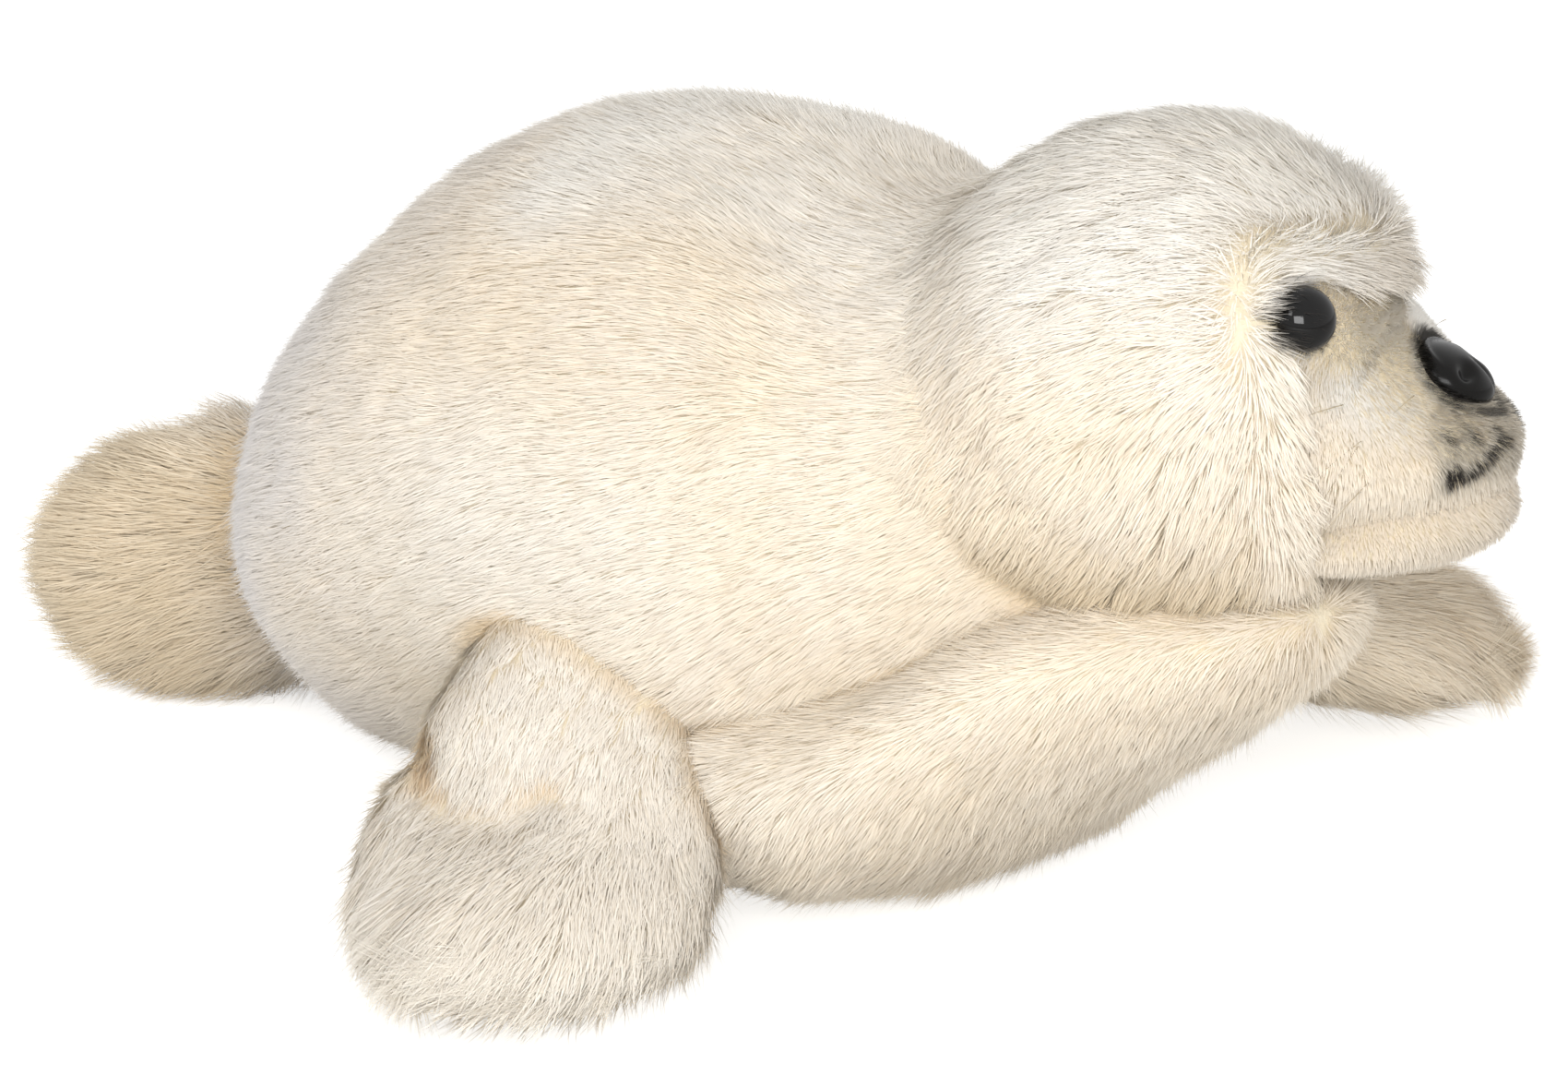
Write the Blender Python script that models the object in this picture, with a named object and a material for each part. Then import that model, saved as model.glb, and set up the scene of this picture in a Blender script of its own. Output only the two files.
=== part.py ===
"""Plush seal pup lying on its belly, with its head turned to its left.

Every stuffed part is a fur fabric skin around its own polyester filling. The glossy eyes and the nose
are moulded buttons whose stems pass through the skin and are locked inside by washers, and three nylon
threads cross the muzzle and stand out at both sides as whiskers.

Metres, +Z up, +X towards the chest and +Y to the seal's left. The origin is on the table, under the belly.
"""

import math

import bmesh
import bpy
import numpy as np
from mathutils import Matrix, Vector

# Fabric and play
SKIN_THICKNESS = 0.003  # knitted backing with the matted base of the pile
SEAM_GAP = 0.0003  # between pieces that touch
FILLING_GAP = 0.0004  # between a skin and its own filling

# Trunk: the back and flanks, then the belly panel that bulges below the flank seam
BACK_FRONT = 0.120
BACK_LENGTH = 0.305
BACK_HALF_WIDTH = 0.094
BACK_HALF_HEIGHT = 0.092
BACK_MIDDLE_HEIGHT = 0.087
BACK_REAR_HEIGHT = 0.052
BACK_UNDERSIDE = 0.006  # the back's underside, held off the table by the belly and the tail
THROAT_REACH = 0.018  # of the belly panel, past the front of the back
BELLY_LENGTH = 0.187
BELLY_HALF_WIDTH = 0.086
BELLY_HALF_HEIGHT = 0.040
BELLY_MIDDLE_HEIGHT = 0.036

# Head: its middle is set back from the front of the back
HEAD_SETBACK = 0.036
HEAD_SHIFT = 0.008
HEAD_HEIGHT = 0.129
HEAD_TURN = 28.0  # degrees to the seal's left
HEAD_LENGTH = 0.127
HEAD_HALF_WIDTH = 0.066
HEAD_HALF_HEIGHT = 0.062

# Muzzle and lower jaw, measured from the middle of the head
MUZZLE_REACH = 0.081
MUZZLE_LENGTH = 0.078
MUZZLE_DROP = 0.002
MUZZLE_HALF_WIDTH = 0.047
MUZZLE_HALF_HEIGHT = 0.026
JAW_REACH = 0.079
JAW_LENGTH = 0.070
JAW_DROP = 0.029
JAW_HALF_WIDTH = 0.033
JAW_HALF_HEIGHT = 0.0155

# Front flippers: a short arm and a broad hand that rests on the table. The right one is drawn in and
# folded at the wrist, the left one is stretched out and forwards.
ARM_EMBED = 0.036  # how far the arm starts inside the trunk's side
ARM_HEIGHT = 0.066
ARM_LENGTH = 0.104
ARM_HALF_WIDTH = 0.038
ARM_HALF_THICKNESS = 0.027
HAND_LENGTH = 0.080
HAND_HALF_WIDTH = 0.045
HAND_HALF_THICKNESS = 0.024
HAND_HEIGHT = 0.019
RIGHT_ARM_STATION = -0.036
RIGHT_ARM_TURN = 57.0  # degrees outwards from straight ahead
RIGHT_ARM_SLOPE = 31.0
RIGHT_HAND_OVERLAP = 0.046  # of the hand on the arm, along the flipper
LEFT_ARM_STATION = -0.012
LEFT_ARM_TURN = 57.0
LEFT_ARM_SLOPE = 24.0
LEFT_HAND_OVERLAP = 0.034

# Rear flippers: a pair on the end of the tail, which is bent a little to the seal's left
TAIL_TURN = 10.0
TAIL_SHIFT = 0.008
REAR_FLIPPER_EMBED = 0.030
REAR_FLIPPER_SIDE = 0.017
RIGHT_REAR_SPREAD = 22.0
RIGHT_REAR_LENGTH = 0.092
LEFT_REAR_SPREAD = 27.5
LEFT_REAR_LENGTH = 0.089
REAR_FLIPPER_HALF_WIDTH = 0.037
REAR_FLIPPER_HALF_THICKNESS = 0.033
REAR_FLIPPER_HEIGHT = 0.0315

# Eyes: buttons of black plastic, with their stems and lock washers
EYE_RADIUS = 0.0072
EYE_DOME = 0.0056
EYE_SIDE_ANGLE = 50.0  # from straight ahead of the face, sideways
EYE_LIFT_ANGLE = 25.5
STEM_RADIUS = 0.0018
STEM_LENGTH = 0.013
WASHER_RADIUS = 0.0075
WASHER_THICKNESS = 0.0018
STEM_PLAY = 0.0003
BUTTON_PLAY = 0.0006  # between a button's rim and the fabric beside it

# Nose: a broad moulded button on the upper front of the muzzle
NOSE_HALF_WIDTH = 0.0115
NOSE_HALF_HEIGHT = 0.0105
NOSE_DOME = 0.0062
NOSE_LIFT_ANGLE = 55.0

# Whisker threads, straight through the muzzle and swept back and down outside it
WHISKER_RADIUS = 0.0002
WHISKER_PLAY = 0.0003
WHISKER_STRAIGHT = 0.0025  # outside the skin, before the bend
WHISKER_FREE_LENGTH = 0.022
WHISKER_BACK_ANGLE = 32.0
WHISKER_DOWN_ANGLE = 24.0
WHISKER_SPOTS = ((0.044, 0.011), (0.048, 0.001), (0.050, -0.009))  # ahead of and above the head's middle

# Materials: colour, roughness
MATERIALS = {
    "long_pile": ((0.86, 0.80, 0.68), 0.95),
    "short_pile": ((0.85, 0.78, 0.64), 0.95),
    "filling": ((0.90, 0.90, 0.90), 1.0),
    "black_plastic": ((0.012, 0.012, 0.012), 0.08),
    "washer_plastic": ((0.75, 0.75, 0.72), 0.4),
    "nylon": ((0.70, 0.68, 0.60), 0.25),
}


def make_collection(name):
    collection = bpy.data.collections.new(name)
    bpy.context.scene.collection.children.link(collection)
    return collection


def make_material(name):
    colour, roughness = MATERIALS[name]
    material = bpy.data.materials.new(name)
    material.use_nodes = True
    shader = material.node_tree.nodes["Principled BSDF"]
    shader.inputs["Base Color"].default_value = (*colour, 1.0)
    shader.inputs["Roughness"].default_value = roughness
    shader.inputs["Metallic"].default_value = 0.0
    return material


def read_profile(values, share):
    """Reads values, given at even steps from end to end, at each share of the length, on a smooth curve."""
    values = np.asarray(values, float)
    padded = np.concatenate([[2 * values[0] - values[1]], values, [2 * values[-1] - values[-2]]])
    place = np.clip(share, 0, 1) * (len(values) - 1)
    first = np.minimum(place.astype(int), len(values) - 2)
    t = place - first
    a, b, c, d = (padded[first + step] for step in range(4))
    return 0.5 * (2 * b + (c - a) * t + (2 * a - 5 * b + 4 * c - d) * t**2 + (3 * b - a - 3 * c + d) * t**3)


class Form:
    """A stuffed shape: oval sections along a bent middle line, closed by a rounded end at each pole.

    width, up and down are the half-sizes of the sections and rise bends the middle line, all given at
    even steps from the rear pole to the front one. slope tips the line down towards its front, and turn
    swings it to the left. floor is the height at which the underside is pressed flat, and blunt is the
    power of the end's superellipse.
    """

    def __init__(
        self, rear, turn, slope, length, width, up, down, rise=(0, 0), floor=0.0, blunt=2.2, detail=16
    ):
        self.rear = Vector(rear)
        heading = Matrix.Rotation(math.radians(turn), 3, "Z")
        self.rotation = heading @ Matrix.Rotation(math.radians(slope), 3, "Y")
        self.length = length
        self.width, self.up, self.down = width, up, down
        self.rise = rise
        self.floor = floor
        self.blunt = blunt
        self.detail = detail

    def point(self, directions, inset=0.0):
        """World points for unit vectors whose X runs from pole to pole, the surface moved inwards by inset."""
        along = directions[:, 0]
        share = (along + 1) / 2
        ring = np.maximum(np.linalg.norm(directions[:, 1:], axis=1), 1e-9)
        radial = directions[:, 1:] / ring[:, None]
        cap = np.maximum(1 - np.abs(along) ** self.blunt, 0) ** (1 / self.blunt)
        across = (read_profile(self.width, share) - inset) * cap * radial[:, 0]
        tall = np.where(radial[:, 1] > 0, read_profile(self.up, share), read_profile(self.down, share))
        local = np.stack(
            [
                inset + share * (self.length - 2 * inset),
                across,
                read_profile(self.rise, share) + (tall - inset) * cap * radial[:, 1],
            ],
            axis=1,
        )
        world = local @ np.array(self.rotation).T + np.array(self.rear)
        world[:, 2] = np.maximum(world[:, 2], self.floor + inset)
        return world

    def seat(self, direction):
        """The surface point in a direction from pole to pole and its outward normal."""
        unit = Vector(direction).normalized()
        side = unit.orthogonal().normalized()
        step = 0.02
        three = [unit, (unit + side * step).normalized(), (unit + unit.cross(side) * step).normalized()]
        centre, first, second = (Vector(p) for p in self.point(np.array([list(v) for v in three])))
        return centre, (first - centre).cross(second - centre).normalized()


def form_mesh(form, inset=0.0, detail=None):
    """A UV sphere with its poles laid along the form, each vertex then moved to the form's surface."""
    steps = detail or form.detail
    shape = bmesh.new()
    bmesh.ops.create_uvsphere(shape, u_segments=steps, v_segments=steps, radius=1.0)
    bmesh.ops.rotate(shape, verts=shape.verts, matrix=Matrix.Rotation(math.radians(90), 3, "Y"))
    bmesh.ops.triangulate(shape, faces=shape.faces, quad_method="FIXED")
    mesh = bpy.data.meshes.new("form")
    shape.to_mesh(mesh)
    shape.free()
    directions = np.empty(len(mesh.vertices) * 3)
    mesh.vertices.foreach_get("co", directions)
    points = form.point(directions.reshape(-1, 3), inset) - np.array(form.rear)
    mesh.vertices.foreach_set("co", points.ravel())
    mesh.update()
    return mesh


def smooth(mesh):
    mesh.shade_smooth()
    mesh.set_sharp_from_angle(angle=math.radians(50))


def add_object(name, mesh, place, collection, material=None):
    thing = bpy.data.objects.new(name, mesh)
    thing.location = place
    collection.objects.link(thing)
    if material:
        mesh.materials.append(material)
    else:
        thing.hide_render = True
        thing.display_type = "WIRE"
    return thing


def combine(target, other, operation):
    modifier = target.modifiers.new(other.name, "BOOLEAN")
    modifier.operation = operation
    modifier.object = other


class Builder:
    """Holds the two collections and the materials, and makes pieces and cutters from forms."""

    def __init__(self):
        self.parts = make_collection("plush_seal")
        self.cutters = make_collection("cutters")
        self.materials = {name: make_material(name) for name in MATERIALS}
        self.made = {}

    def cutter(self, form, inset, detail=None):
        key = (id(form), inset)
        if key not in self.made:
            mesh = form_mesh(form, inset, detail)
            self.made[key] = add_object(f"cutter_{len(self.made)}", mesh, form.rear, self.cutters)
        return self.made[key]

    def piece(self, name, forms, inset, material):
        """The union of one or more forms, moved in by inset, as a visible piece."""
        mesh = form_mesh(forms[0], inset)
        smooth(mesh)
        piece = add_object(name, mesh, forms[0].rear, self.parts, self.materials[material])
        for form in forms[1:]:
            combine(piece, self.cutter(form, inset), "UNION")
        return piece

    def skin(self, name, forms, neighbours, material):
        """A fabric shell: the forms, hollowed by the same forms moved in, cut back where neighbours are."""
        shell = self.piece(name, forms, 0.0, material)
        for form in forms:
            combine(shell, self.cutter(form, SKIN_THICKNESS), "DIFFERENCE")
        for form in neighbours:
            combine(shell, self.cutter(form, -SEAM_GAP), "DIFFERENCE")
        return shell

    def filling(self, name, forms, neighbours, inside=()):
        """Stuffing inside a skin, stopped at each neighbour's skin and at the filling of each form in inside."""
        lump = self.piece(name, forms, SKIN_THICKNESS + FILLING_GAP, "filling")
        for form in neighbours:
            combine(lump, self.cutter(form, -SEAM_GAP), "DIFFERENCE")
        for form in inside:
            combine(lump, self.cutter(form, SKIN_THICKNESS), "DIFFERENCE")
        return lump


def trunk_forms():
    """The back with its flanks, and the belly and throat panel that bulges below the flank seam."""
    w, h = BACK_HALF_WIDTH, BACK_HALF_HEIGHT
    climb = BACK_MIDDLE_HEIGHT - BACK_REAR_HEIGHT
    back = Form(
        rear=(BACK_FRONT - BACK_LENGTH, 0, BACK_REAR_HEIGHT),
        turn=0,
        slope=0,
        length=BACK_LENGTH,
        width=[w * k for k in (0.84, 1.0, 1.0, 1.01, 0.97, 0.77, 0.5)],
        up=[h * k for k in (0.68, 0.97, 1.0, 0.985, 0.88, 0.70, 0.50)],
        down=[h * k for k in (0.55, 0.90, 0.96, 0.96, 0.97, 0.80, 0.45)],
        rise=[climb * k for k in (0, 0.43, 0.87, 1.0, 1.0, 1.1, 1.2)],
        floor=BACK_UNDERSIDE,
        blunt=2.3,
        detail=22,
    )
    b, d = BELLY_HALF_WIDTH, BELLY_HALF_HEIGHT
    belly = Form(
        rear=(BACK_FRONT + THROAT_REACH - BELLY_LENGTH, 0, BELLY_MIDDLE_HEIGHT),
        turn=0,
        slope=0,
        length=BELLY_LENGTH,
        width=[b * k for k in (0.82, 1.1, 1.02, 0.84, 0.6)],
        up=[d * k for k in (0.75, 0.85, 0.88, 0.75, 0.6)],
        down=[d * k for k in (0.9, 1.05, 1.08, 1.02, 0.8)],
        rise=(0, 0, 0.007, 0.034, 0.047),
        detail=18,
    )
    return back, belly


def head_forms():
    """The long-pile hood of the head, the muzzle and the lower jaw, all on the head's own heading."""
    middle = Vector((BACK_FRONT - HEAD_SETBACK, HEAD_SHIFT, HEAD_HEIGHT))
    turn = Matrix.Rotation(math.radians(HEAD_TURN), 3, "Z")
    w, h = HEAD_HALF_WIDTH, HEAD_HALF_HEIGHT
    head = Form(
        rear=middle + turn @ Vector((-HEAD_LENGTH / 2, 0, 0)),
        turn=HEAD_TURN,
        slope=0,
        length=HEAD_LENGTH,
        width=[w * k for k in (0.92, 1.0, 1.0, 0.98, 0.9)],
        up=[h * k for k in (0.9, 1.0, 1.02, 1.0, 0.9)],
        down=[h * k for k in (0.9, 1.0, 1.0, 0.98, 0.9)],
        detail=18,
    )
    m = MUZZLE_HALF_WIDTH
    muzzle = Form(
        rear=middle + turn @ Vector((MUZZLE_REACH - MUZZLE_LENGTH, 0, -MUZZLE_DROP)),
        turn=HEAD_TURN,
        slope=0,
        length=MUZZLE_LENGTH,
        width=[m * k for k in (0.9, 1.02, 1.0, 0.82, 0.62)],
        up=[MUZZLE_HALF_HEIGHT * k for k in (0.95, 0.95, 0.84, 0.58, 0.42)],
        down=[MUZZLE_HALF_HEIGHT * k for k in (0.9, 0.92, 0.85, 0.62, 0.5)],
        rise=(0, 0, -0.002, -0.006, -0.008),
        blunt=2.4,
        detail=16,
    )
    jaw = Form(
        rear=middle + turn @ Vector((JAW_REACH - JAW_LENGTH, 0, -JAW_DROP)),
        turn=HEAD_TURN,
        slope=0,
        length=JAW_LENGTH,
        width=[JAW_HALF_WIDTH * k for k in (1.0, 1.05, 1.0, 0.8)],
        up=[JAW_HALF_HEIGHT] * 3,
        down=[JAW_HALF_HEIGHT] * 3,
        rise=(-0.002, 0, 0.004),
        detail=12,
    )
    return middle, turn, head, muzzle, jaw


def front_flipper_forms(side, station, outward, slope, overlap):
    """Arm and hand. side is 1 for the seal's left and -1 for its right."""
    turn = side * outward
    heading = Matrix.Rotation(math.radians(turn), 3, "Z") @ Vector((1, 0, 0))
    root = Vector((station, side * (BACK_HALF_WIDTH - ARM_EMBED), ARM_HEIGHT))
    arm = Form(
        rear=root,
        turn=turn,
        slope=slope,
        length=ARM_LENGTH,
        width=[ARM_HALF_WIDTH * k for k in (0.9, 1.0, 1.0, 0.95)],
        up=[ARM_HALF_THICKNESS] * 2,
        down=[ARM_HALF_THICKNESS] * 2,
        detail=12,
    )
    wrist = root + heading * (ARM_LENGTH * math.cos(math.radians(slope)) - overlap)
    hand = Form(
        rear=(wrist.x, wrist.y, HAND_HEIGHT),
        turn=turn,
        slope=0,
        length=HAND_LENGTH,
        width=[HAND_HALF_WIDTH * k for k in (0.85, 1.0, 1.0, 0.9)],
        up=[HAND_HALF_THICKNESS * k for k in (1.0, 1.0, 0.9)],
        down=[HAND_HALF_THICKNESS] * 2,
        detail=14,
    )
    return [arm, hand]


def rear_flipper_form(side, spread, length):
    """One of the pair at the end of the tail. side is 1 for the seal's left and -1 for its right."""
    return Form(
        rear=(
            BACK_FRONT - BACK_LENGTH + REAR_FLIPPER_EMBED,
            TAIL_SHIFT + side * REAR_FLIPPER_SIDE,
            REAR_FLIPPER_HEIGHT,
        ),
        turn=180 - TAIL_TURN - side * spread,
        slope=0,
        length=length,
        width=[REAR_FLIPPER_HALF_WIDTH * k for k in (0.7, 0.85, 1.0, 1.0)],
        up=[REAR_FLIPPER_HALF_THICKNESS] * 2,
        down=[REAR_FLIPPER_HALF_THICKNESS] * 2,
        detail=14,
    )


def lathe(profile, steps=16):
    """Mesh of a profile of (radius, height) points turned about Z, from its top point down to its last."""
    shape = bmesh.new()
    points = [shape.verts.new((radius, 0, height)) for radius, height in profile]
    edges = [shape.edges.new(pair) for pair in zip(points, points[1:])]
    bmesh.ops.spin(
        shape,
        geom=points + edges,
        cent=(0, 0, 0),
        axis=(0, 0, 1),
        angle=math.tau,
        steps=steps,
        use_merge=True,
    )
    bmesh.ops.remove_doubles(shape, verts=shape.verts, dist=1e-6)
    bmesh.ops.recalc_face_normals(shape, faces=shape.faces)
    mesh = bpy.data.meshes.new("lathe")
    shape.to_mesh(mesh)
    shape.free()
    smooth(mesh)
    return mesh


def button_profile(radius, dome, stem_length):
    """Dome, flat back and stem of a moulded button, with the back at height 0."""
    arc = [(radius * math.sin(a), dome * math.cos(a)) for a in np.linspace(0, math.pi / 2, 7)]
    return arc + [(STEM_RADIUS, 0), (STEM_RADIUS, -stem_length), (0, -stem_length)]


def washer_profile(radius, thickness):
    bore = STEM_RADIUS + STEM_PLAY
    return [(bore, 0), (radius, 0), (radius, -thickness), (bore, -thickness), (bore, 0)]


def pocket_profile(radius, dome, washer_top):
    """The room that a button, its stem and its washer take up, with some play."""
    head = radius + BUTTON_PLAY
    brow = dome + BUTTON_PLAY
    seat = -SEAM_GAP / 2
    bore = STEM_RADIUS + STEM_PLAY
    wide = WASHER_RADIUS + STEM_PLAY
    top = washer_top + STEM_PLAY
    floor = -STEM_LENGTH - STEM_PLAY
    dome_room = [(0, brow), (head, brow), (head, seat)]
    stem_room = [(bore, seat), (bore, top)]
    washer_room = [(wide, top), (wide, floor), (0, floor)]
    return dome_room + stem_room + washer_room


def place_button(builder, name, seat, normal, across, stretch, radius, dome, pierced):
    """A button with its washer, seated on a skin at seat, and the holes that both need in the pierced pieces.

    stretch widens and flattens the dome to an oval: its factors along across and along the third axis.
    """
    third = normal.cross(across).normalized()
    axes = Matrix((third.cross(normal).normalized(), third, normal)).transposed().to_4x4()
    back = seat + normal * SEAM_GAP
    matrix = Matrix.Translation(back) @ axes

    button_mesh = lathe(button_profile(radius, dome, STEM_LENGTH))
    for vertex in button_mesh.vertices:
        if vertex.co.z > -1e-6 and vertex.co.xy.length > STEM_RADIUS + 1e-5:
            vertex.co.x *= stretch[0]
            vertex.co.y *= stretch[1]
    button = add_object(name, button_mesh, (0, 0, 0), builder.parts, builder.materials["black_plastic"])
    button.matrix_world = matrix

    washer_top = -SKIN_THICKNESS - 3 * SEAM_GAP
    washer_mesh = lathe(washer_profile(WASHER_RADIUS, WASHER_THICKNESS))
    washer_material = builder.materials["washer_plastic"]
    washer = add_object(f"{name}_washer", washer_mesh, (0, 0, 0), builder.parts, washer_material)
    washer.matrix_world = matrix @ Matrix.Translation((0, 0, washer_top))

    pocket_mesh = lathe(pocket_profile(radius, dome, washer_top))
    pocket = add_object(f"pocket_{name}", pocket_mesh, (0, 0, 0), builder.cutters)
    pocket.matrix_world = matrix
    for piece in pierced:
        combine(piece, pocket, "DIFFERENCE")


def tube(name, points, radius):
    """Mesh of a six-sided rod through points, closed at both ends."""
    curve = bpy.data.curves.new(name, "CURVE")
    curve.dimensions = "3D"
    curve.bevel_depth = radius
    curve.bevel_resolution = 1
    curve.use_fill_caps = True
    line = curve.splines.new("POLY")
    line.points.add(len(points) - 1)
    for slot, point in zip(line.points, points):
        slot.co = (*point, 1.0)
    rod = bpy.data.objects.new(name, curve)
    bpy.context.scene.collection.objects.link(rod)
    bpy.context.view_layer.update()
    mesh = bpy.data.meshes.new_from_object(rod.evaluated_get(bpy.context.evaluated_depsgraph_get()))
    bpy.data.objects.remove(rod)
    bpy.data.curves.remove(curve)
    closing = bmesh.new()
    closing.from_mesh(mesh)
    bmesh.ops.remove_doubles(closing, verts=closing.verts, dist=1e-6)
    bmesh.ops.recalc_face_normals(closing, faces=closing.faces)
    closing.to_mesh(mesh)
    closing.free()
    smooth(mesh)
    return mesh


def place_whisker(builder, number, middle, turn, forms, spot, pierced):
    """A nylon thread across the muzzle at spot, and the hole for it in the pierced pieces."""
    ahead, above = spot
    reach = max(half_width_at(form, middle, turn, ahead, above) for form in forms) + WHISKER_STRAIGHT
    back = math.radians(WHISKER_BACK_ANGLE)
    down = math.radians(WHISKER_DOWN_ANGLE)
    free = []
    place = Vector((ahead, reach, above))
    bends = 4
    for step in range(1, bends + 1):
        share = step / bends
        sideways = Vector((-math.sin(back * share), math.cos(back * share), -math.sin(down * share)))
        place = place + sideways.normalized() * (WHISKER_FREE_LENGTH / bends)
        free.append(place.copy())
    left = [Vector((ahead, reach, above))] + free
    right = [Vector((p.x, -p.y, p.z)) for p in reversed(left)]
    path = [middle + turn @ p for p in right + left]
    name = f"whisker_thread_{number}"
    thread_mesh = tube(name, path, WHISKER_RADIUS)
    add_object(name, thread_mesh, (0, 0, 0), builder.parts, builder.materials["nylon"])
    ends = [middle + turn @ Vector((ahead, side * reach, above)) for side in (-1, 1)]
    bore_mesh = tube(name, ends, WHISKER_RADIUS + WHISKER_PLAY)
    bore = add_object(f"bore_{name}", bore_mesh, (0, 0, 0), builder.cutters)
    for piece in pierced:
        combine(piece, bore, "DIFFERENCE")


def half_width_at(form, middle, turn, ahead, above):
    """How far the form reaches to the left of the head's middle, at a place ahead of and above it."""
    angles = np.linspace(-math.pi / 2, math.pi / 2, 91)
    along = np.linspace(-0.98, 0.98, 197)
    grid_along, grid_angle = (grid.ravel() for grid in np.meshgrid(along, angles))
    ring = np.sqrt(1 - grid_along**2)
    unit = np.stack([grid_along, ring * np.cos(grid_angle), ring * np.sin(grid_angle)], axis=1)
    local = (form.point(unit) - np.array(middle)) @ np.array(turn)
    nearest = np.argmin((local[:, 0] - ahead) ** 2 + (local[:, 2] - above) ** 2)
    return local[nearest, 1]


def main():
    for thing in list(bpy.data.objects):
        bpy.data.objects.remove(thing)
    builder = Builder()
    back, belly = trunk_forms()
    middle, turn, head, muzzle, jaw = head_forms()

    builder.skin("back_skin", [back], [belly, head], "long_pile")
    builder.skin("belly_skin", [belly], [back, head], "long_pile")
    builder.filling("trunk_filling", [back, belly], [], inside=[head])

    head_skin = builder.skin("head_skin", [head], [back, belly, muzzle], "long_pile")
    head_filling = builder.filling("head_filling", [head], [])
    muzzle_skin = builder.skin("muzzle_skin", [muzzle], [head], "short_pile")
    muzzle_filling = builder.filling("muzzle_filling", [muzzle], [], inside=[head])
    builder.skin("lower_jaw_skin", [jaw], [head, muzzle, back, belly], "short_pile")
    builder.filling("lower_jaw_filling", [jaw], [head, muzzle, back, belly])

    right_pose = (-1, RIGHT_ARM_STATION, RIGHT_ARM_TURN, RIGHT_ARM_SLOPE, RIGHT_HAND_OVERLAP)
    left_pose = (1, LEFT_ARM_STATION, LEFT_ARM_TURN, LEFT_ARM_SLOPE, LEFT_HAND_OVERLAP)
    for word, pose in (("left", left_pose), ("right", right_pose)):
        flipper = front_flipper_forms(*pose)
        builder.skin(f"front_flipper_{word}_skin", flipper, [back, belly], "long_pile")
        builder.filling(f"front_flipper_{word}_filling", flipper, [back, belly])

    right_rear = rear_flipper_form(-1, RIGHT_REAR_SPREAD, RIGHT_REAR_LENGTH)
    left_rear = rear_flipper_form(1, LEFT_REAR_SPREAD, LEFT_REAR_LENGTH)
    builder.skin("rear_flipper_left_skin", [left_rear], [back], "long_pile")
    builder.filling("rear_flipper_left_filling", [left_rear], [back])
    builder.skin("rear_flipper_right_skin", [right_rear], [back, left_rear], "long_pile")
    builder.filling("rear_flipper_right_filling", [right_rear], [back, left_rear])

    lift = math.radians(EYE_LIFT_ANGLE)
    aside = math.radians(EYE_SIDE_ANGLE)
    for word, side in (("left", 1), ("right", -1)):
        toward = (math.cos(lift) * math.cos(aside), side * math.cos(lift) * math.sin(aside), math.sin(lift))
        seat, normal = head.seat(toward)
        place_button(
            builder,
            f"eye_{word}",
            seat,
            normal,
            Vector((0, 0, 1)).cross(normal),
            (1, 1),
            EYE_RADIUS,
            EYE_DOME,
            [head_skin, head_filling],
        )

    face = [head_skin, head_filling, muzzle_skin, muzzle_filling]
    nose_lift = math.radians(NOSE_LIFT_ANGLE)
    seat, normal = muzzle.seat((math.cos(nose_lift), 0, math.sin(nose_lift)))
    place_button(
        builder,
        "nose",
        seat,
        normal,
        turn @ Vector((0, 1, 0)),
        (1, NOSE_HALF_HEIGHT / NOSE_HALF_WIDTH),
        NOSE_HALF_WIDTH,
        NOSE_DOME,
        face,
    )
    for number, spot in enumerate(WHISKER_SPOTS, 1):
        place_whisker(builder, number, middle, turn, [head, muzzle], spot, face)


main()
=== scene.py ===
"""Looks of the plush seal pup: fur fabric skins, combed pile, glossy eyes and nose, and nylon whiskers.

Every skin is a stuffed form, a function of two parameters on a grid. The pile is real hairs, each a short
ribbon that grows from the skin, lies along the comb direction and leans into its tuft.
"""

import math

import bpy
import numpy as np
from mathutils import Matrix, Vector


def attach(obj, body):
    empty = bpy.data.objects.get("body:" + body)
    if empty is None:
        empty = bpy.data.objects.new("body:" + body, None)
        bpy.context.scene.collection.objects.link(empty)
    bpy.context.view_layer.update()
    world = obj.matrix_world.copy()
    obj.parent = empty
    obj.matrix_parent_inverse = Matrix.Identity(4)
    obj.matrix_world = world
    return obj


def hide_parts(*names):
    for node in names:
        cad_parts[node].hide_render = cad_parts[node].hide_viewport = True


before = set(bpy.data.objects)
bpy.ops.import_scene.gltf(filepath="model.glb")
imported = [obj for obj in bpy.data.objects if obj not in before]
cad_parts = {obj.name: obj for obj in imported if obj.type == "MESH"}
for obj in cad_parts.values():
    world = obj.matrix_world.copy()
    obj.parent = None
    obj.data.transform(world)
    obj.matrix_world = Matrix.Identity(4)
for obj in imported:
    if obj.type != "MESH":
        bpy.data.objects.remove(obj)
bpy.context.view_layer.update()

MM = 0.001

# The head's own axes: its middle, and its heading in degrees to the seal's left
HEAD_MIDDLE = np.array([0.084, 0.008, 0.129])
HEAD_TURN = 28.0


# Colours


def linear(hex_colour):
    """Linear RGB of an sRGB hex colour: the piecewise sRGB curve, undone."""
    value = np.array([int(hex_colour[i : i + 2], 16) for i in (1, 3, 5)]) / 255
    return np.where(value <= 0.04045, value / 12.92, ((value + 0.055) / 1.055) ** 2.4)


CREAM_TIP = linear("#f7efe3")
CREAM_ROOT = linear("#f7e9d2")
WARM_TIP = linear("#f6ead5")
# Painted light: a paler, cooler pile high up, on the right front flipper and on the face beside the eyes. Its
# root colour TOP_ROOT also goes under the greyer painted shade towards the tail.
LIT_TOP_TIP = linear("#fcf9f3")
TOP_ROOT = linear("#f6f0e6")
# Painted shade: a greyer pile towards the tail
REAR_SHADE_TIP = linear("#e7e5e8")
# Painted shade: a browner pile on the tail and under the cheeks
BROWN_SHADE_TIP = linear("#dccaab")
# Painted shade: a greyer pile on the brow's front and on the jaw
GREY_SHADE_TIP = linear("#d5c9b8")
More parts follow.
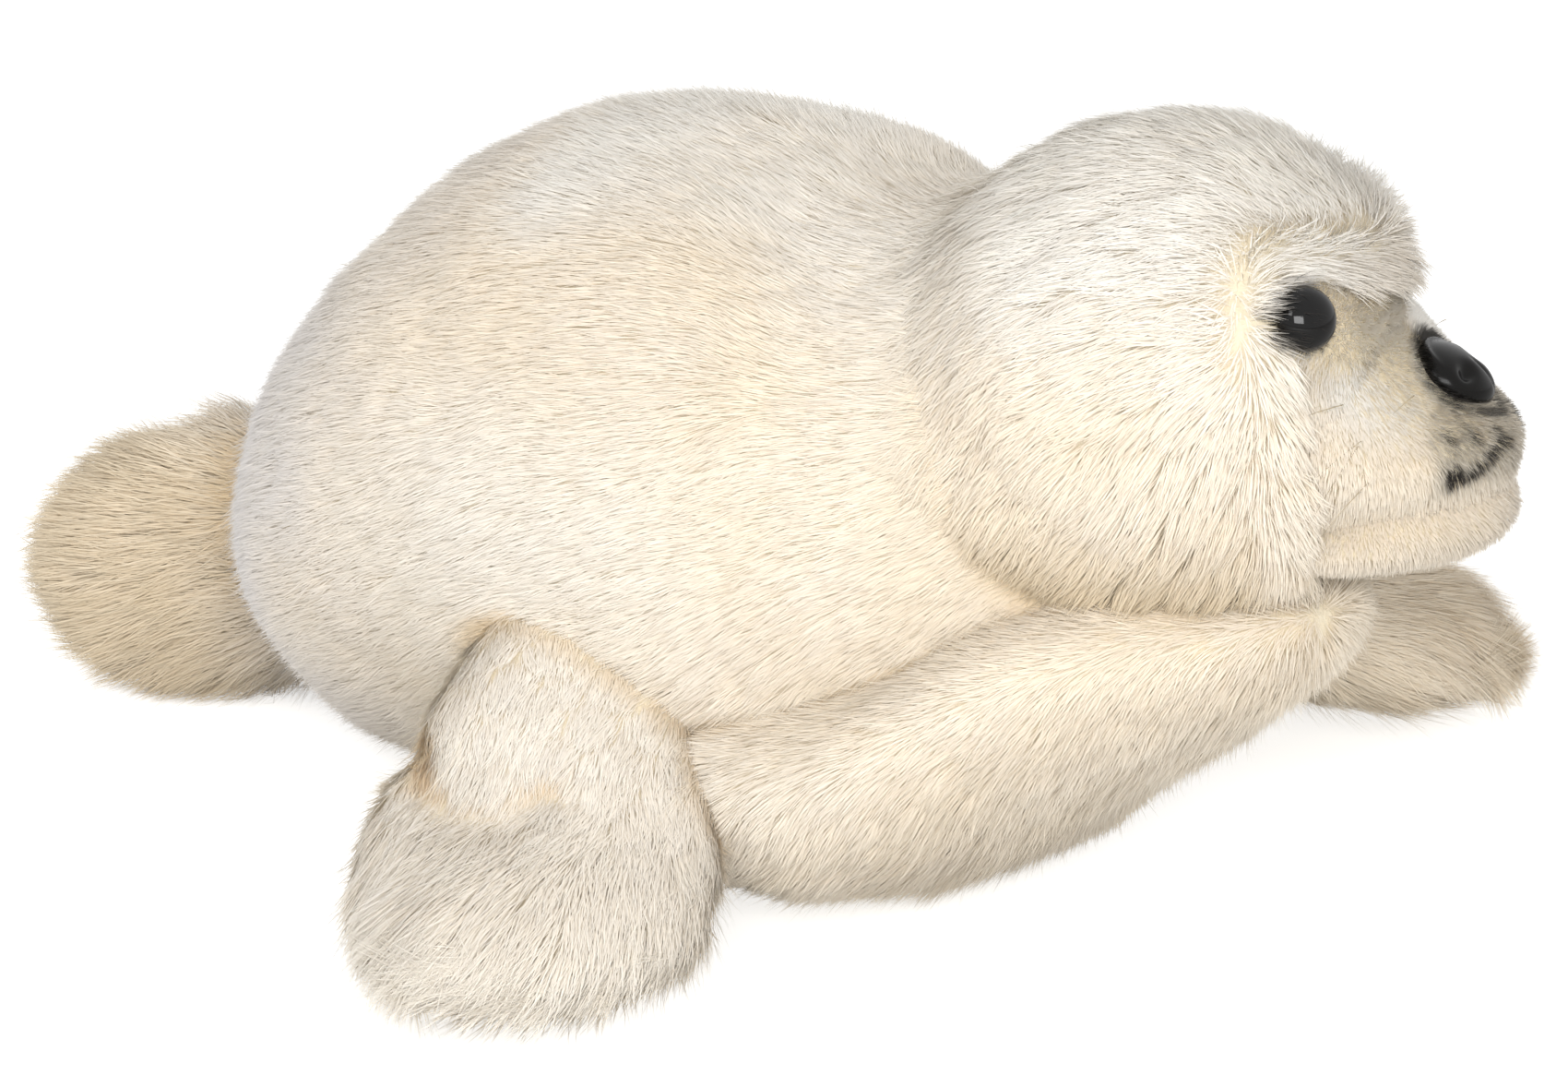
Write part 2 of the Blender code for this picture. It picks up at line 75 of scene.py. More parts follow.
# Painted shade: an amber pile where forms meet and in the wrist fold
CREASE_SHADE = linear("#ecd0a0")
# Painted shade: a darker pile in low places and on the far front flipper
SHADE_TIP = linear("#efe0c4")
BACKING = linear("#faeed4")
DARK_DYE = linear("#25211e")
# Grey dye on the muzzle's pads, also used for a little painted shade under the brow
GREY_DYE_AND_SHADE = linear("#8c8678")


# Shapes


def smoothstep(low, high, x):
    """0 below low, 1 above high, and 3t^2 - 2t^3 between. low may be the larger."""
    t = np.clip((x - low) / (high - low), 0, 1)
    return t * t * (3 - 2 * t)


def unit(vectors):
    """Each vector over its own length."""
    return vectors / np.maximum(np.linalg.norm(vectors, axis=-1, keepdims=True), 1e-12)


def read_profile(values, share):
    """Catmull-Rom curve through values at even steps from 0 to 1, read at each share."""
    values = np.asarray(values, float)
    padded = np.concatenate([[2 * values[0] - values[1]], values, [2 * values[-1] - values[-2]]])
    place = np.clip(share, 0, 1) * (len(values) - 1)
    first = np.minimum(place.astype(int), len(values) - 2)
    t = place - first
    a, b, c, d = (padded[first + step] for step in range(4))
    return 0.5 * (2 * b + (c - a) * t + (2 * a - 5 * b + 4 * c - d) * t**2 + (3 * b - a - 3 * c + d) * t**3)


def turned(turn, slope):
    """Rotation by slope about Y, then by turn about Z, in degrees."""
    a, b = math.radians(turn), math.radians(slope)
    about_z = np.array([[math.cos(a), -math.sin(a), 0], [math.sin(a), math.cos(a), 0], [0, 0, 1]])
    about_y = np.array([[math.cos(b), 0, math.sin(b)], [0, 1, 0], [-math.sin(b), 0, math.cos(b)]])
    return about_z @ about_y


def hashed(cells, seed):
    """A number from 0 to 1 for each whole-number cell, the same on every run."""
    x, y, z = (cells[..., i].astype(np.int64) for i in range(3))
    h = (x * 73856093) ^ (y * 19349663) ^ (z * 83492791) ^ (seed * 2654435761)
    h = ((h ^ (h >> 13)) * 1274126177) & 0x7FFFFFFF
    h = ((h ^ (h >> 15)) * 1103515245 + 12345) & 0x7FFFFFFF
    return h / 0x7FFFFFFF


def noise(points, size, seed):
    """Smooth noise from -1 to 1: random numbers at the corners of cubes of that size, eased between them."""
    place = points / size
    cell = np.floor(place)
    t = place - cell
    t = t * t * (3 - 2 * t)
    total = 0
    for corner in np.ndindex(2, 2, 2):
        weight = np.prod(np.where(corner, t, 1 - t), axis=-1)
        total = total + weight * hashed(cell + corner, seed)
    return total * 2 - 1


def tuft_middles(points, size, seed):
    """The nearest tuft middle for each point, and that tuft's own number from 0 to 1. There is one random
    middle in each cube of that size."""
    cell = np.floor(points / size)
    best = np.full(len(points), np.inf)
    middle = np.zeros_like(points)
    mark = np.zeros(len(points))
    for step in np.ndindex(3, 3, 3):
        here = cell + np.array(step) - 1
        jitter = np.stack([hashed(here, seed + k) for k in range(3)], axis=-1)
        candidate = (here + jitter) * size
        far = np.linalg.norm(points - candidate, axis=-1)
        nearer = far < best
        best = np.where(nearer, far, best)
        middle = np.where(nearer[:, None], candidate, middle)
        mark = np.where(nearer, hashed(here, seed + 9), mark)
    return middle, mark


# Heights between which neighbouring skins begin to swell towards each other
SWELL_LOW, SWELL_HIGH = 0.085, 0.125
# The depth over which a skin flattens where it rests on the table
RESTING = 0.004


class Form:
    """A stuffed shape.

    At share s of its length the section is an oval with half-sizes width(s), and up(s) or down(s), closed at
    both poles by the superellipse (1 - |2s - 1|^blunt)^(1/blunt), on a line bent by rise(s). pile is how far
    the skin lies inside the outline, which leaves room for the hairs, and floor is the lowest height of the
    outline. lumps adds noise, each of a size and a height in millimetres with a seed, and recess moves the
    skin by a function of place. blends names other forms, each with a reach: where one is nearer than its
    reach, the skin swells by up to a quarter of it, with the square of the nearness.
    """

    def __init__(
        self, rear, turn, slope, length, width, up, down, rise=(0, 0), floor=0.0, blunt=2.2, pile=0.004
    ):
        self.rear = np.array(rear, float)
        self.rotation = turned(turn, slope)
        self.length, self.width, self.up, self.down = length, width, up, down
        self.rise, self.floor, self.blunt, self.pile = rise, floor, blunt, pile
        self.lumps = ()
        self.recess = None
        self.blends = ()
        self.middle = self.rear + self.rotation @ np.array([length / 2, 0, rise[len(rise) // 2]])
        self.half = (max(width) + max(up) + length / 2) / 3
        self.reach = math.hypot(length / 2, max(*width, *up, *down)) + 0.02

    def surface(self, along, angle):
        """Skin points for along from -1 to 1, pole to pole, and the angle round the section."""
        share = (along + 1) / 2
        cap = np.maximum(1 - np.abs(along) ** self.blunt, 0) ** (1 / self.blunt)
        side, rise = np.cos(angle), np.sin(angle)
        upper = smoothstep(-0.25, 0.25, rise)
        tall = read_profile(self.up, share) * upper + read_profile(self.down, share) * (1 - upper)
        wide = read_profile(self.width, share)
        run = self.pile + share * (self.length - 2 * self.pile)
        middle = np.stack([run, 0 * share, read_profile(self.rise, share)], -1)
        spread = np.stack([0 * share, (wide - self.pile) * cap * side, (tall - self.pile) * cap * rise], -1)
        outward = unit(np.stack([along * 0.6, side * (cap + 1e-6), rise * (cap + 1e-6)], -1))
        world = (middle + spread) @ self.rotation.T + self.rear
        out = outward @ self.rotation.T
        height = 0
        for size, tall_mm, seed in self.lumps:
            height = height + noise(world, size * MM, seed) * tall_mm * MM
        height = height + dents(world)
        world = world + out * height[..., None]
        if self.recess:
            world = world + self.recess(world)[..., None] * out
        for other, reach in self.blends:
            near = np.clip(1 - other.gap(world.reshape(-1, 3)).reshape(share.shape) / reach, 0, 1) ** 2
            near = near * smoothstep(SWELL_LOW, SWELL_HIGH, world[..., 2])
            world = world + (0.25 * reach * near)[..., None] * out
        low = self.floor + self.pile * 0.6
        over = world[..., 2] - low
        world[..., 2] = low + np.where(over > RESTING, over, RESTING * np.exp((over - RESTING) / RESTING))
        return world

    def gap(self, points):
        """Rough distance of points outside the skin, below 0 inside it and 1 where they are far away."""
        result = np.ones(len(points))
        close = np.linalg.norm(points - self.middle, axis=-1) < self.reach
        local = (points[close] - self.rear) @ self.rotation
        along = np.clip(2 * (local[:, 0] - self.pile) / (self.length - 2 * self.pile) - 1, -1.5, 1.5)
        share = (along + 1) / 2
        high = local[:, 2] - read_profile(self.rise, share)
        tall = np.where(high > 0, read_profile(self.up, share), read_profile(self.down, share)) - self.pile
        across = local[:, 1] / (read_profile(self.width, share) - self.pile)
        round_it = np.sqrt(across**2 + (high / tall) ** 2)
        depth = (round_it**self.blunt + np.abs(along) ** self.blunt) ** (1 / self.blunt)
        result[close] = (np.minimum(depth, 3) - 1) * self.half
        if self.recess:
            result[close] -= np.minimum(self.recess(points[close]), 0)
        return result


def scaled(size, shares):
    """Each share of one size."""
    return [size * share for share in shares]


def head_place(ahead, aside, above):
    """World place of a point given in metres ahead of, to the left of and above the head's middle."""
    return HEAD_MIDDLE + turned(HEAD_TURN, 0) @ np.array([ahead, aside, above])


def head_local(points):
    """Millimetres ahead of, to the left of and above the head's middle."""
    return (points - HEAD_MIDDLE) @ turned(HEAD_TURN, 0) / MM


# Dents in the stuffing: place, radius and depth in millimetres. They are where the pile parts.
DENTS = (
    ((-12.7, -19.0, 172.0), 17.0, 3.2),
    ((12.0, -30.0, 164.0), 12.0, 2.2),
    ((30.0, -36.0, 154.0), 10.0, 2.0),
)

# A fold at the inner side of the right wrist: points along it, its radius and its depth, in millimetres
WRIST_FOLD = np.array([
    [-34.0, -117.0, 47.5], [-24.0, -126.5, 42.0], [-9.9, -130.0, 39.1], [1.7, -124.3, 39.1],
    [3.4, -115.0, 44.5],
])
FOLD_RADIUS, FOLD_DEPTH = 6.0, 3.4


def line_distance(points, line):
    """Distance of each point from a polyline, in the line's units."""
    best = np.full(points.shape[:-1], np.inf)
    for start, stop in zip(line[:-1], line[1:]):
        run = stop - start
        share = np.clip((points - start) @ run / (run @ run), 0, 1)
        best = np.minimum(best, np.linalg.norm(points - start - share[..., None] * run, axis=-1))
    return best


def dents(points):
    """Sum of smooth pits and of the fold: minus depth times exp(-(distance / radius)^2)."""
    total = 0
    for place, radius, deep in DENTS:
        far = np.linalg.norm(points - np.array(place) * MM, axis=-1)
        total = total - deep * MM * np.exp(-((far / (radius * MM)) ** 2))
    fold = line_distance(points / MM, WRIST_FOLD) / FOLD_RADIUS
    return total - FOLD_DEPTH * MM * np.exp(-(fold**2))


# The hood's edge in head millimetres: heights and how far ahead it lies down the cheek, and distances from the
# middle and its heights over the brow
CHEEK_EDGE = ((-40, -14, 10, 32, 45), (37, 36.5, 34.4, 31, 31))
BROW_EDGE = ((0, 15, 28, 36, 50), (27, 28.5, 31, 35.5, 38.5))

# The left eye's seat in head millimetres, and the way that it looks. The right one is its mirror image.
EYE = np.array([35.6, 46.9, 29.6])
EYE_AXIS = np.array([0.61, 0.66, 0.43])

# How far the face lies behind the brow and its sides under the muzzle's pads, and how far the skin comes out
# round an eye, in metres. That rise has a radius in millimetres.
FACE_IN, SIDE_IN, EYE_OUT = 0.010, 0.0035, 0.0070
EYE_RADIUS = 14.0


def hood_edge(local):
    """Where the long pile of the hood ends, as millimetres in front of it and under the brow, both over 0 on
    the face: two broken lines, ahead against height and height against the distance from the middle."""
    ahead = local[..., 0] - np.interp(local[..., 2], *CHEEK_EDGE)
    below = np.interp(np.abs(local[..., 1]), *BROW_EDGE) - local[..., 2]
    return ahead, below


def face_recess(world):
    """How far the head's skin moves out, in metres. The face lies behind the brow: in between the eyes, and at
    the sides under the muzzle's pads. Round each eye it comes out, by a bell curve of the distance, so that
    the button sits in it."""
    local = head_local(world)
    ahead, aside, above = local[..., 0], np.abs(local[..., 1]), local[..., 2]
    middle = smoothstep(40, 8, aside) * smoothstep(29, 17, above) * smoothstep(34, 54, ahead)
    side = smoothstep(22, 12, above) * smoothstep(-3, 3, hood_edge(local)[0])
    far = (ahead - EYE[0]) ** 2 + (aside - EYE[1]) ** 2 + (above - EYE[2]) ** 2
    eye = np.exp(-far / EYE_RADIUS**2)
    return -FACE_IN * middle * (1 - eye) - SIDE_IN * side * (1 - eye) + EYE_OUT * eye


BACK = Form(
    rear=(-0.185, 0, 0.052), turn=0, slope=0, length=0.305,
    width=scaled(0.094, (0.84, 1.0, 1.0, 1.01, 0.97, 0.77, 0.5)),
    up=scaled(0.092, (0.68, 0.97, 1.0, 0.985, 0.88, 0.70, 0.50)),
    down=scaled(0.092, (0.55, 0.90, 0.96, 0.96, 0.97, 0.80, 0.45)),
    rise=scaled(0.035, (0, 0.43, 0.87, 1.0, 1.0, 1.1, 1.2)),
    floor=0.004, blunt=2.3, pile=0.0055,
)
BELLY = Form(
    rear=(-0.049, 0, 0.036), turn=0, slope=0, length=0.187,
    width=scaled(0.086, (0.82, 1.1, 1.02, 0.84, 0.6)),
    up=scaled(0.040, (0.75, 0.85, 0.88, 0.75, 0.6)),
    down=scaled(0.040, (0.9, 1.05, 1.08, 1.02, 0.8)),
    rise=(0, 0, 0.007, 0.034, 0.047), pile=0.005,
)
HEAD = Form(
    rear=head_place(-0.0635, 0, 0), turn=HEAD_TURN, slope=0, length=0.127,
    width=scaled(0.066, (0.92, 1.0, 1.0, 0.98, 0.9)),
    up=scaled(0.062, (0.9, 1.0, 1.02, 1.0, 0.9)),
    down=scaled(0.062, (0.9, 1.0, 1.0, 0.98, 0.9)), pile=0.0055,
)
HEAD.recess = face_recess
MUZZLE = Form(
    rear=head_place(0.003, 0, -0.002), turn=HEAD_TURN, slope=0, length=0.078,
    width=scaled(0.047, (0.9, 1.02, 1.0, 0.82, 0.62)),
    up=scaled(0.026, (1.0, 1.05, 1.06, 0.99, 0.65, 0.46)),
    down=scaled(0.026, (0.95, 1.05, 1.04, 0.92, 0.78, 0.66)),
    rise=(0, 0, -0.001, -0.003, -0.006, -0.008), blunt=2.6, pile=0.003,
)
JAW = Form(
    rear=head_place(0.005, 0, -0.029), turn=HEAD_TURN, slope=0, length=0.0755,
    width=scaled(0.033, (1.2, 1.27, 1.15, 0.9)),
    up=(0.0150, 0.0165), down=(0.0090, 0.0120), rise=(0.002, 0.0015, 0.004), blunt=2.4, pile=0.003,
)


# Front flippers in metres: arm, hand, height of the shoulder's middle, and how softly the arm levels out
ARM_LENGTH, HAND_LENGTH = 0.104, 0.080
SHOULDER_HEIGHT, LEVELLING = 0.047, 0.010


def front_flipper(side, station, outward, slope, overlap):
    """Arm and hand in one stuffed form. Its middle falls from the shoulder at the slope, and then lies flat:
    levelling times log(1 + exp(drop / levelling)). The form grows wider and lower towards the hand."""
    fall = math.tan(math.radians(slope))
    wrist = ARM_LENGTH * math.cos(math.radians(slope)) - overlap
    length = wrist + HAND_LENGTH
    run = np.linspace(0, length, 9)
    drop = SHOULDER_HEIGHT - run * fall
    rise = LEVELLING * np.log1p(np.exp(drop / LEVELLING))
    hand = smoothstep(wrist * 0.55, wrist + 0.030, run)
    return Form(
        rear=(station, side * 0.058, 0.019), turn=side * outward, slope=0, length=length,
        width=0.036 + 0.010 * hand - 0.007 * smoothstep(wrist + 0.045, length, run),
        up=0.031 - 0.006 * hand, down=0.032 - 0.008 * hand, rise=rise, blunt=2.6, pile=0.006,
    )


def rear_flipper(side, spread, length):
    """One of the pair at the end of the tail."""
    return Form(
        rear=(-0.155, 0.008 + side * 0.017, 0.0315), turn=170 - side * spread, slope=0, length=length,
        width=scaled(0.037, (0.7, 0.85, 1.0, 1.0)), up=(0.050, 0.046, 0.036, 0.032), down=(0.033, 0.033),
        pile=0.0065,
    )


RIGHT_FRONT = front_flipper(-1, -0.036, 57, 31, 0.046)
LEFT_FRONT = front_flipper(1, -0.012, 57, 24, 0.034)
RIGHT_REAR = rear_flipper(-1, 22, 0.092)
LEFT_REAR = rear_flipper(1, 27.5, 0.089)
EVERY_FORM = (
    BACK, BELLY, HEAD, MUZZLE, JAW,
    RIGHT_FRONT, LEFT_FRONT, RIGHT_REAR, LEFT_REAR,
)
# Lumps of the filling: size and height in millimetres, and a seed
for form, lumps in (
    (BACK, ((45, 1.6, 11), (16, 0.6, 12))),
    (BELLY, ((35, 1.4, 13), (14, 0.6, 14))),
    (HEAD, ((30, 1.2, 15), (12, 0.6, 16))),
    (RIGHT_FRONT, ((24, 1.6, 17), (11, 0.8, 18))),
    (LEFT_FRONT, ((24, 1.6, 21), (11, 0.8, 22))),
    (RIGHT_REAR, ((22, 1.6, 25), (10, 0.8, 26))),
    (LEFT_REAR, ((22, 1.6, 27), (10, 0.8, 28))),
):
    form.lumps = lumps
# The neck: trunk and head swell towards each other where they meet, by a quarter of this reach at most.
BACK.blends = ((HEAD, 0.036),)
HEAD.blends = ((BACK, 0.036), (MUZZLE, 0.012))
MUZZLE.blends = ((HEAD, 0.012), (JAW, 0.010))
JAW.blends = ((MUZZLE, 0.010),)

# Places on the face, in millimetres ahead of, aside from and above the head's middle. Aside is mirrored.
BROW_SPOT = np.array([40.2, 28.6, 31.7])
# The middle of the painted light beside the eyes
LIT_FACE_SPOT = np.array([48.0, 24.0, 18.0])
CHEEK_SPOT = np.array([41.8, 32.8, 22.6])
NOSE = np.array([62.0, 0.0, 4.0])
PAD_SPOTS = np.array([[65.7, 13.4, 1.2], [65.2, 24.5, -2.6], [70.7, 17.8, -4.3], [74.8, 10.1, -5.4]])
PAD_LINE = np.array([[69.3, 10.1, -0.8], [71.5, 6.8, -1.9], [74.2, 0.6, -3.6]])
MOUTH_TUFT = np.array([66.6, 26.4, -10.4])
MOUTH_LINE = np.array([
    [66.0, 27.3, -10.2], [68.3, 24.5, -10.9], [70.9, 21.6, -9.9], [72.8, 18.9, -8.9], [74.1, 16.0, -7.8],
    [75.1, 12.5, -6.9], [76.8, 8.2, -7.6],
])


def add_mesh(name, points, faces):
    """A mesh object from a vertex array and an array of faces with the same number of corners."""
    mesh = bpy.data.meshes.new(name)
    count, corners = faces.shape
    mesh.vertices.add(len(points))
    mesh.vertices.foreach_set("co", np.ascontiguousarray(points, np.float32).ravel())
    mesh.loops.add(count * corners)
    mesh.loops.foreach_set("vertex_index", np.ascontiguousarray(faces, np.int32).ravel())
    mesh.polygons.add(count)
    mesh.polygons.foreach_set("loop_start", np.arange(count, dtype=np.int32) * corners)
    mesh.update(calc_edges=True)
    mesh.shade_smooth()
    piece = bpy.data.objects.new(name, mesh)
    bpy.context.scene.collection.objects.link(piece)
    return piece


def fit(piece, material, slot, *nodes):
    """Gives a piece its material, and makes it ride on the body in place of some CAD nodes. slot is not used.
    """
    piece.data.materials.append(material)
    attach(piece, "root")
    if nodes:
        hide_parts(*nodes)


def closed_grid(rings, around):
    """Triangles of a grid of rings between two pole points, wound so that they face outwards."""
    first = 1 + np.arange(rings - 1)[:, None] * around + np.arange(around)[None, :]
    next_round = 1 + np.arange(rings - 1)[:, None] * around + (np.arange(around) + 1)[None, :] % around
    a, b, c, d = first, next_round, next_round + around, first + around
    body = np.concatenate([np.stack([a, b, c], -1).reshape(-1, 3), np.stack([a, c, d], -1).reshape(-1, 3)])
    ring = np.arange(around)
    start = np.stack([0 * ring, 1 + (ring + 1) % around, 1 + ring], -1)
    last = 1 + (rings - 1) * around
    end = np.stack([0 * ring + last + around, last + ring, last + (ring + 1) % around], -1)
    return np.concatenate([body, start, end])


def skin_mesh(name, form, rings, around):
    """The form's skin on a grid: along is -cos(t) for even steps of t, so the rings close in at the poles."""
    t = np.linspace(0, math.pi, rings + 2)[1:-1]
    angle = np.linspace(0, math.tau, around, endpoint=False)
    along, angle = np.meshgrid(-np.cos(t), angle, indexing="ij")
    points = form.surface(along, angle).reshape(-1, 3)
    poles = form.surface(np.array([-1.0, 1.0]), np.zeros(2))
    points = np.concatenate([poles[:1], points, poles[1:]])
    return add_mesh(name, points, closed_grid(rings, around))


# Hairs


def sow(form, per_mm2, rng):
    """Random places on the skin, evenly over its area: a grid cell drawn by area, and a random spot in it."""
    steps, around = 90, 120
    t = np.linspace(0.02, math.pi - 0.02, steps + 1)
    angle = np.linspace(0, math.tau, around + 1)
    grid = form.surface(*np.meshgrid(-np.cos(t), angle, indexing="ij"))
    one = grid[1:, :-1] - grid[:-1, :-1]
    two = grid[:-1, 1:] - grid[:-1, :-1]
    area = np.linalg.norm(np.cross(one, two), axis=-1).ravel() / MM**2
    count = int(area.sum() * per_mm2)
    cell = rng.choice(len(area), size=count, p=area / area.sum())
    t = t[cell // around] + rng.random(count) * (t[1] - t[0])
    angle = (cell % around + rng.random(count)) * math.tau / around
    return -np.cos(t), angle


def skin_frame(form, along, angle):
    """Point and outward normal: the cross product of two small steps over the surface."""
    t = np.arccos(np.clip(-along, -1, 1))
    small = 0.02
    point = form.surface(along, angle)
    ahead = form.surface(-np.cos(np.clip(t + small, 0.002, math.pi - 0.002)), angle)
    behind = form.surface(-np.cos(np.clip(t - small, 0.002, math.pi - 0.002)), angle)
    left = form.surface(along, angle + small)
    right = form.surface(along, angle - small)
    normal = unit(np.cross(left - right, ahead - behind))
    return point, normal


def beside(points, form):
    """Distance of roots from the nearest other form, below 0 inside it."""
    return np.min([other.gap(points) for other in EVERY_FORM if other is not form], axis=0)


# How hairs vary: shares of their length, and degrees of how they stand, each by hair and by patch
LENGTH_SPREAD, LENGTH_PATCHES = 0.15, 0.12
STAND_SPREAD, STAND_PATCHES = 6, 8
# How much flatter and shorter they get where they touch a neighbouring form
FLATTER, SHORTER = 0.65, 0.35
# A stray hair stands this many degrees more, and is thinner by this share
STRAY_STAND, STRAY_THINNER = 22, 0.6
# How the comb direction wanders, by patch and by hair, against a direction of length 1
FLOW_PATCHES, FLOW_SPREAD = 0.26, 0.13
# How far inside a neighbour a root may lie, and the least height over the table, in metres
ROOT_INSIDE, OVER_TABLE = 0.0015, 0.0007


class Pile:
    """Gathers hairs and turns them into one mesh."""

    def __init__(self, name):
        self.name = name
        self.parts = {True: [], False: []}

    def grow(
        self, form, per_mm2, length, lift, width, comb, tuft, lean, seed, colour,
        bent=True, keep=None, sink=1.0, stray=0.04, bend=12,
    ):
        """Adds hairs on a form, except where their roots lie inside another form.

        length, width and tuft are in millimetres and lift in degrees off the skin; length and lift may be
        functions of the roots. comb gives the direction that the hairs lie in, and keep says which of them
        grow. A bent hair is a root, two points at its middle and a tip: its lower half stands bend degrees
        above lift, its upper half as much below. A straight hair is a sliver, widest at its middle. The tip
        moves by the share lean of the way to the middle of its tuft. sink is how much hairs give way beside
        another form and darken there with painted shade, and stray the share of loose hairs.

        The flat side faces outwards. Its shading normal is mostly the skin's, tilted away from the middle of
        the tuft, so that tufts look round. Real hairs are about 0.03 mm thick: these are as coarse as they
        need to be to show.
        """
        rng = np.random.default_rng(seed)
        root, normal = skin_frame(form, *sow(form, per_mm2, rng))
        gap = beside(root, form)
        wanted = gap > -ROOT_INSIDE
        if keep is not None:
            wanted &= keep(root, normal, rng)
        root, normal, gap = root[wanted], normal[wanted], gap[wanted]
        count = len(root)

        long_mm = length(root) if callable(length) else np.full(count, float(length))
        stand = lift(root) if callable(lift) else np.full(count, float(lift))
        uneven = LENGTH_SPREAD * rng.standard_normal(count).clip(-2, 2)
        long_mm = long_mm * (1 + uneven + LENGTH_PATCHES * noise(root, 0.009, seed + 1))
        uneven = STAND_SPREAD * rng.standard_normal(count) + STAND_PATCHES * noise(root, 0.016, seed + 2)
        stand = stand + uneven * np.minimum(stand / 16, 1)
        touching = sink * (1 - smoothstep(-0.002, 0.009, gap))
        stand = stand * (1 - FLATTER * touching)
        long_mm = long_mm * (1 - SHORTER * touching)
        loose = rng.random(count) < stray
        stand = stand + STRAY_STAND * loose

        flow = comb(root)
        flow = flow + FLOW_PATCHES * np.stack([noise(root, 0.020, seed + k) for k in (3, 4, 5)], -1)
        flow = flow + FLOW_SPREAD * rng.standard_normal((count, 3))
        flow = unit(flow - normal * np.sum(flow * normal, -1, keepdims=True))
        bend = bend if bent else 0
        lower = np.radians(np.clip(stand + bend, 5, 89))[:, None]
        upper = np.radians(np.clip(stand - bend, -8, 85))[:, None]
        half = (long_mm * MM / 2)[:, None]
        middle = root + half * (normal * np.sin(lower) + flow * np.cos(lower))
        end = middle + half * (normal * np.sin(upper) + flow * np.cos(upper))
        centre, mark = tuft_middles(root, tuft * MM, seed + 7)
        toward = centre - root
        toward = toward - normal * np.sum(toward * normal, -1, keepdims=True)
        end = end + toward * lean
        middle = middle + toward * lean * (0.35 if bent else 0.5)
        end[:, 2] = np.maximum(end[:, 2], OVER_TABLE)
        middle[:, 2] = np.maximum(middle[:, 2], OVER_TABLE)

        along = unit(end - root)
        roll = (0.15 * rng.standard_normal(count)).clip(-0.4, 0.4)[:, None]
        face = unit(normal - along * np.sum(normal * along, -1, keepdims=True))
        side = unit(np.cross(along, face))
        side = side * np.cos(roll) + face * np.sin(roll)
        thick = (0.8 + 0.4 * rng.random(count)) * (1 - STRAY_THINNER * loose)
        half_width = (width * MM / 2) * thick[:, None]
        if bent:
            hair = np.stack([root, middle + side * half_width, middle - side * half_width, end], 1)
            share = np.array([0.0, 0.55, 0.55, 1.0])[None, :, None]
        else:
            hair = np.stack([root, middle + side * half_width * 2, end], 1)
            share = np.array([0.15, 0.55, 1.0])[None, :, None]

        tint = 1 + 0.02 * rng.standard_normal(count) + 0.02 * (mark - 0.5)
        # near marks hairs that touch another form, for the painted shade where forms meet
        near = smoothstep(0.009, -0.001, gap) * (0.4 + 0.6 * sink)
        low, tip = colour((root + end) / 2, near)
        # Painted shade between tufts: tips at a tuft's edge take some of the root colour
        outer = smoothstep(0.25, 0.75, np.linalg.norm(toward, axis=-1) / (tuft * MM))
        tip = mix(tip, low, outer * 0.18)
        shade = (low[:, None] * (1 - share) + tip[:, None] * share) * tint[:, None, None]
        shading = unit(0.25 * face + 0.8 * normal - 0.25 * toward / (tuft * MM))
        shading = np.broadcast_to(shading[:, None], hair.shape)
        self.parts[bent].append((hair, np.clip(shade, 0.004, 0.97), shading))

    def finish(self, material, slot):
        """One mesh of all the hairs, two triangles to a bent hair and one to a straight one."""
        points, colours, shadings, faces = [], [], [], []
        start = 0
        for bent, corners in ((True, [[0, 1, 2], [2, 1, 3]]), (False, [[0, 1, 2]])):
            if not self.parts[bent]:
                continue
            hair, shade, shading = (np.concatenate(part) for part in zip(*self.parts[bent]))
            count, size = hair.shape[:2]
            base = start + (np.arange(count) * size)[:, None, None]
            faces.append((base + np.array(corners)[None]).reshape(-1, 3))
            points.append(hair.reshape(-1, 3))
            colours.append(shade.reshape(-1, 3))
            shadings.append(shading.reshape(-1, 3))
            start += count * size
        piece = add_mesh(self.name, np.concatenate(points), np.concatenate(faces))
        piece.data.normals_split_custom_set_from_vertices(np.concatenate(shadings))
        attribute = piece.data.attributes.new("pile_colour", "FLOAT_COLOR", "POINT")
        rgba = np.ones((start, 4), np.float32)
        rgba[:, :3] = np.concatenate(colours)
        attribute.data.foreach_set("color", rgba.ravel())
        fit(piece, material, slot)


# Materials


def node(tree, kind, settings=(), links=()):
    """Adds a node, with its settings by name or input, and links given as (input, other node, output)."""
    made = tree.nodes.new(kind)
    for key, value in settings:
        if hasattr(made, str(key)):
            setattr(made, key, value)
        else:
            made.inputs[key].default_value = value
    for key, other, output in links:
        tree.links.new(other.outputs[output], made.inputs[key])
    return made


def new_material(name, settings):
    """A material with one Principled shader whose constant sockets are set directly."""
    material = bpy.data.materials.new(name)
    material.use_nodes = True
    tree = material.node_tree
    shader = tree.nodes["Principled BSDF"]
    for key, value in settings:
        shader.inputs[key].default_value = value
    return material, tree, shader


def pile_material(name, roughness, sheen):
    """Acrylic and polyester pile: dyed hairs, matt with a soft glow at their edges. Their colour, with painted
    light and shade, is in the mesh, as an attribute."""
    material, tree, shader = new_material(name, (
        ("Roughness", roughness), ("IOR", 1.5), ("Specular IOR Level", 0.25),
        ("Sheen Weight", sheen), ("Sheen Roughness", 0.6), ("Sheen Tint", (*linear("#fffcf3"), 1)),
    ))
    colour = node(tree, "ShaderNodeAttribute", (("attribute_name", "pile_colour"),))
    tree.links.new(colour.outputs["Color"], shader.inputs["Base Color"])
    return material


# Patterns to the metre: loops and matted fibre about 1.1 mm apart, and patches about 17 mm across
NAP, PATCHES = 900.0, 60.0


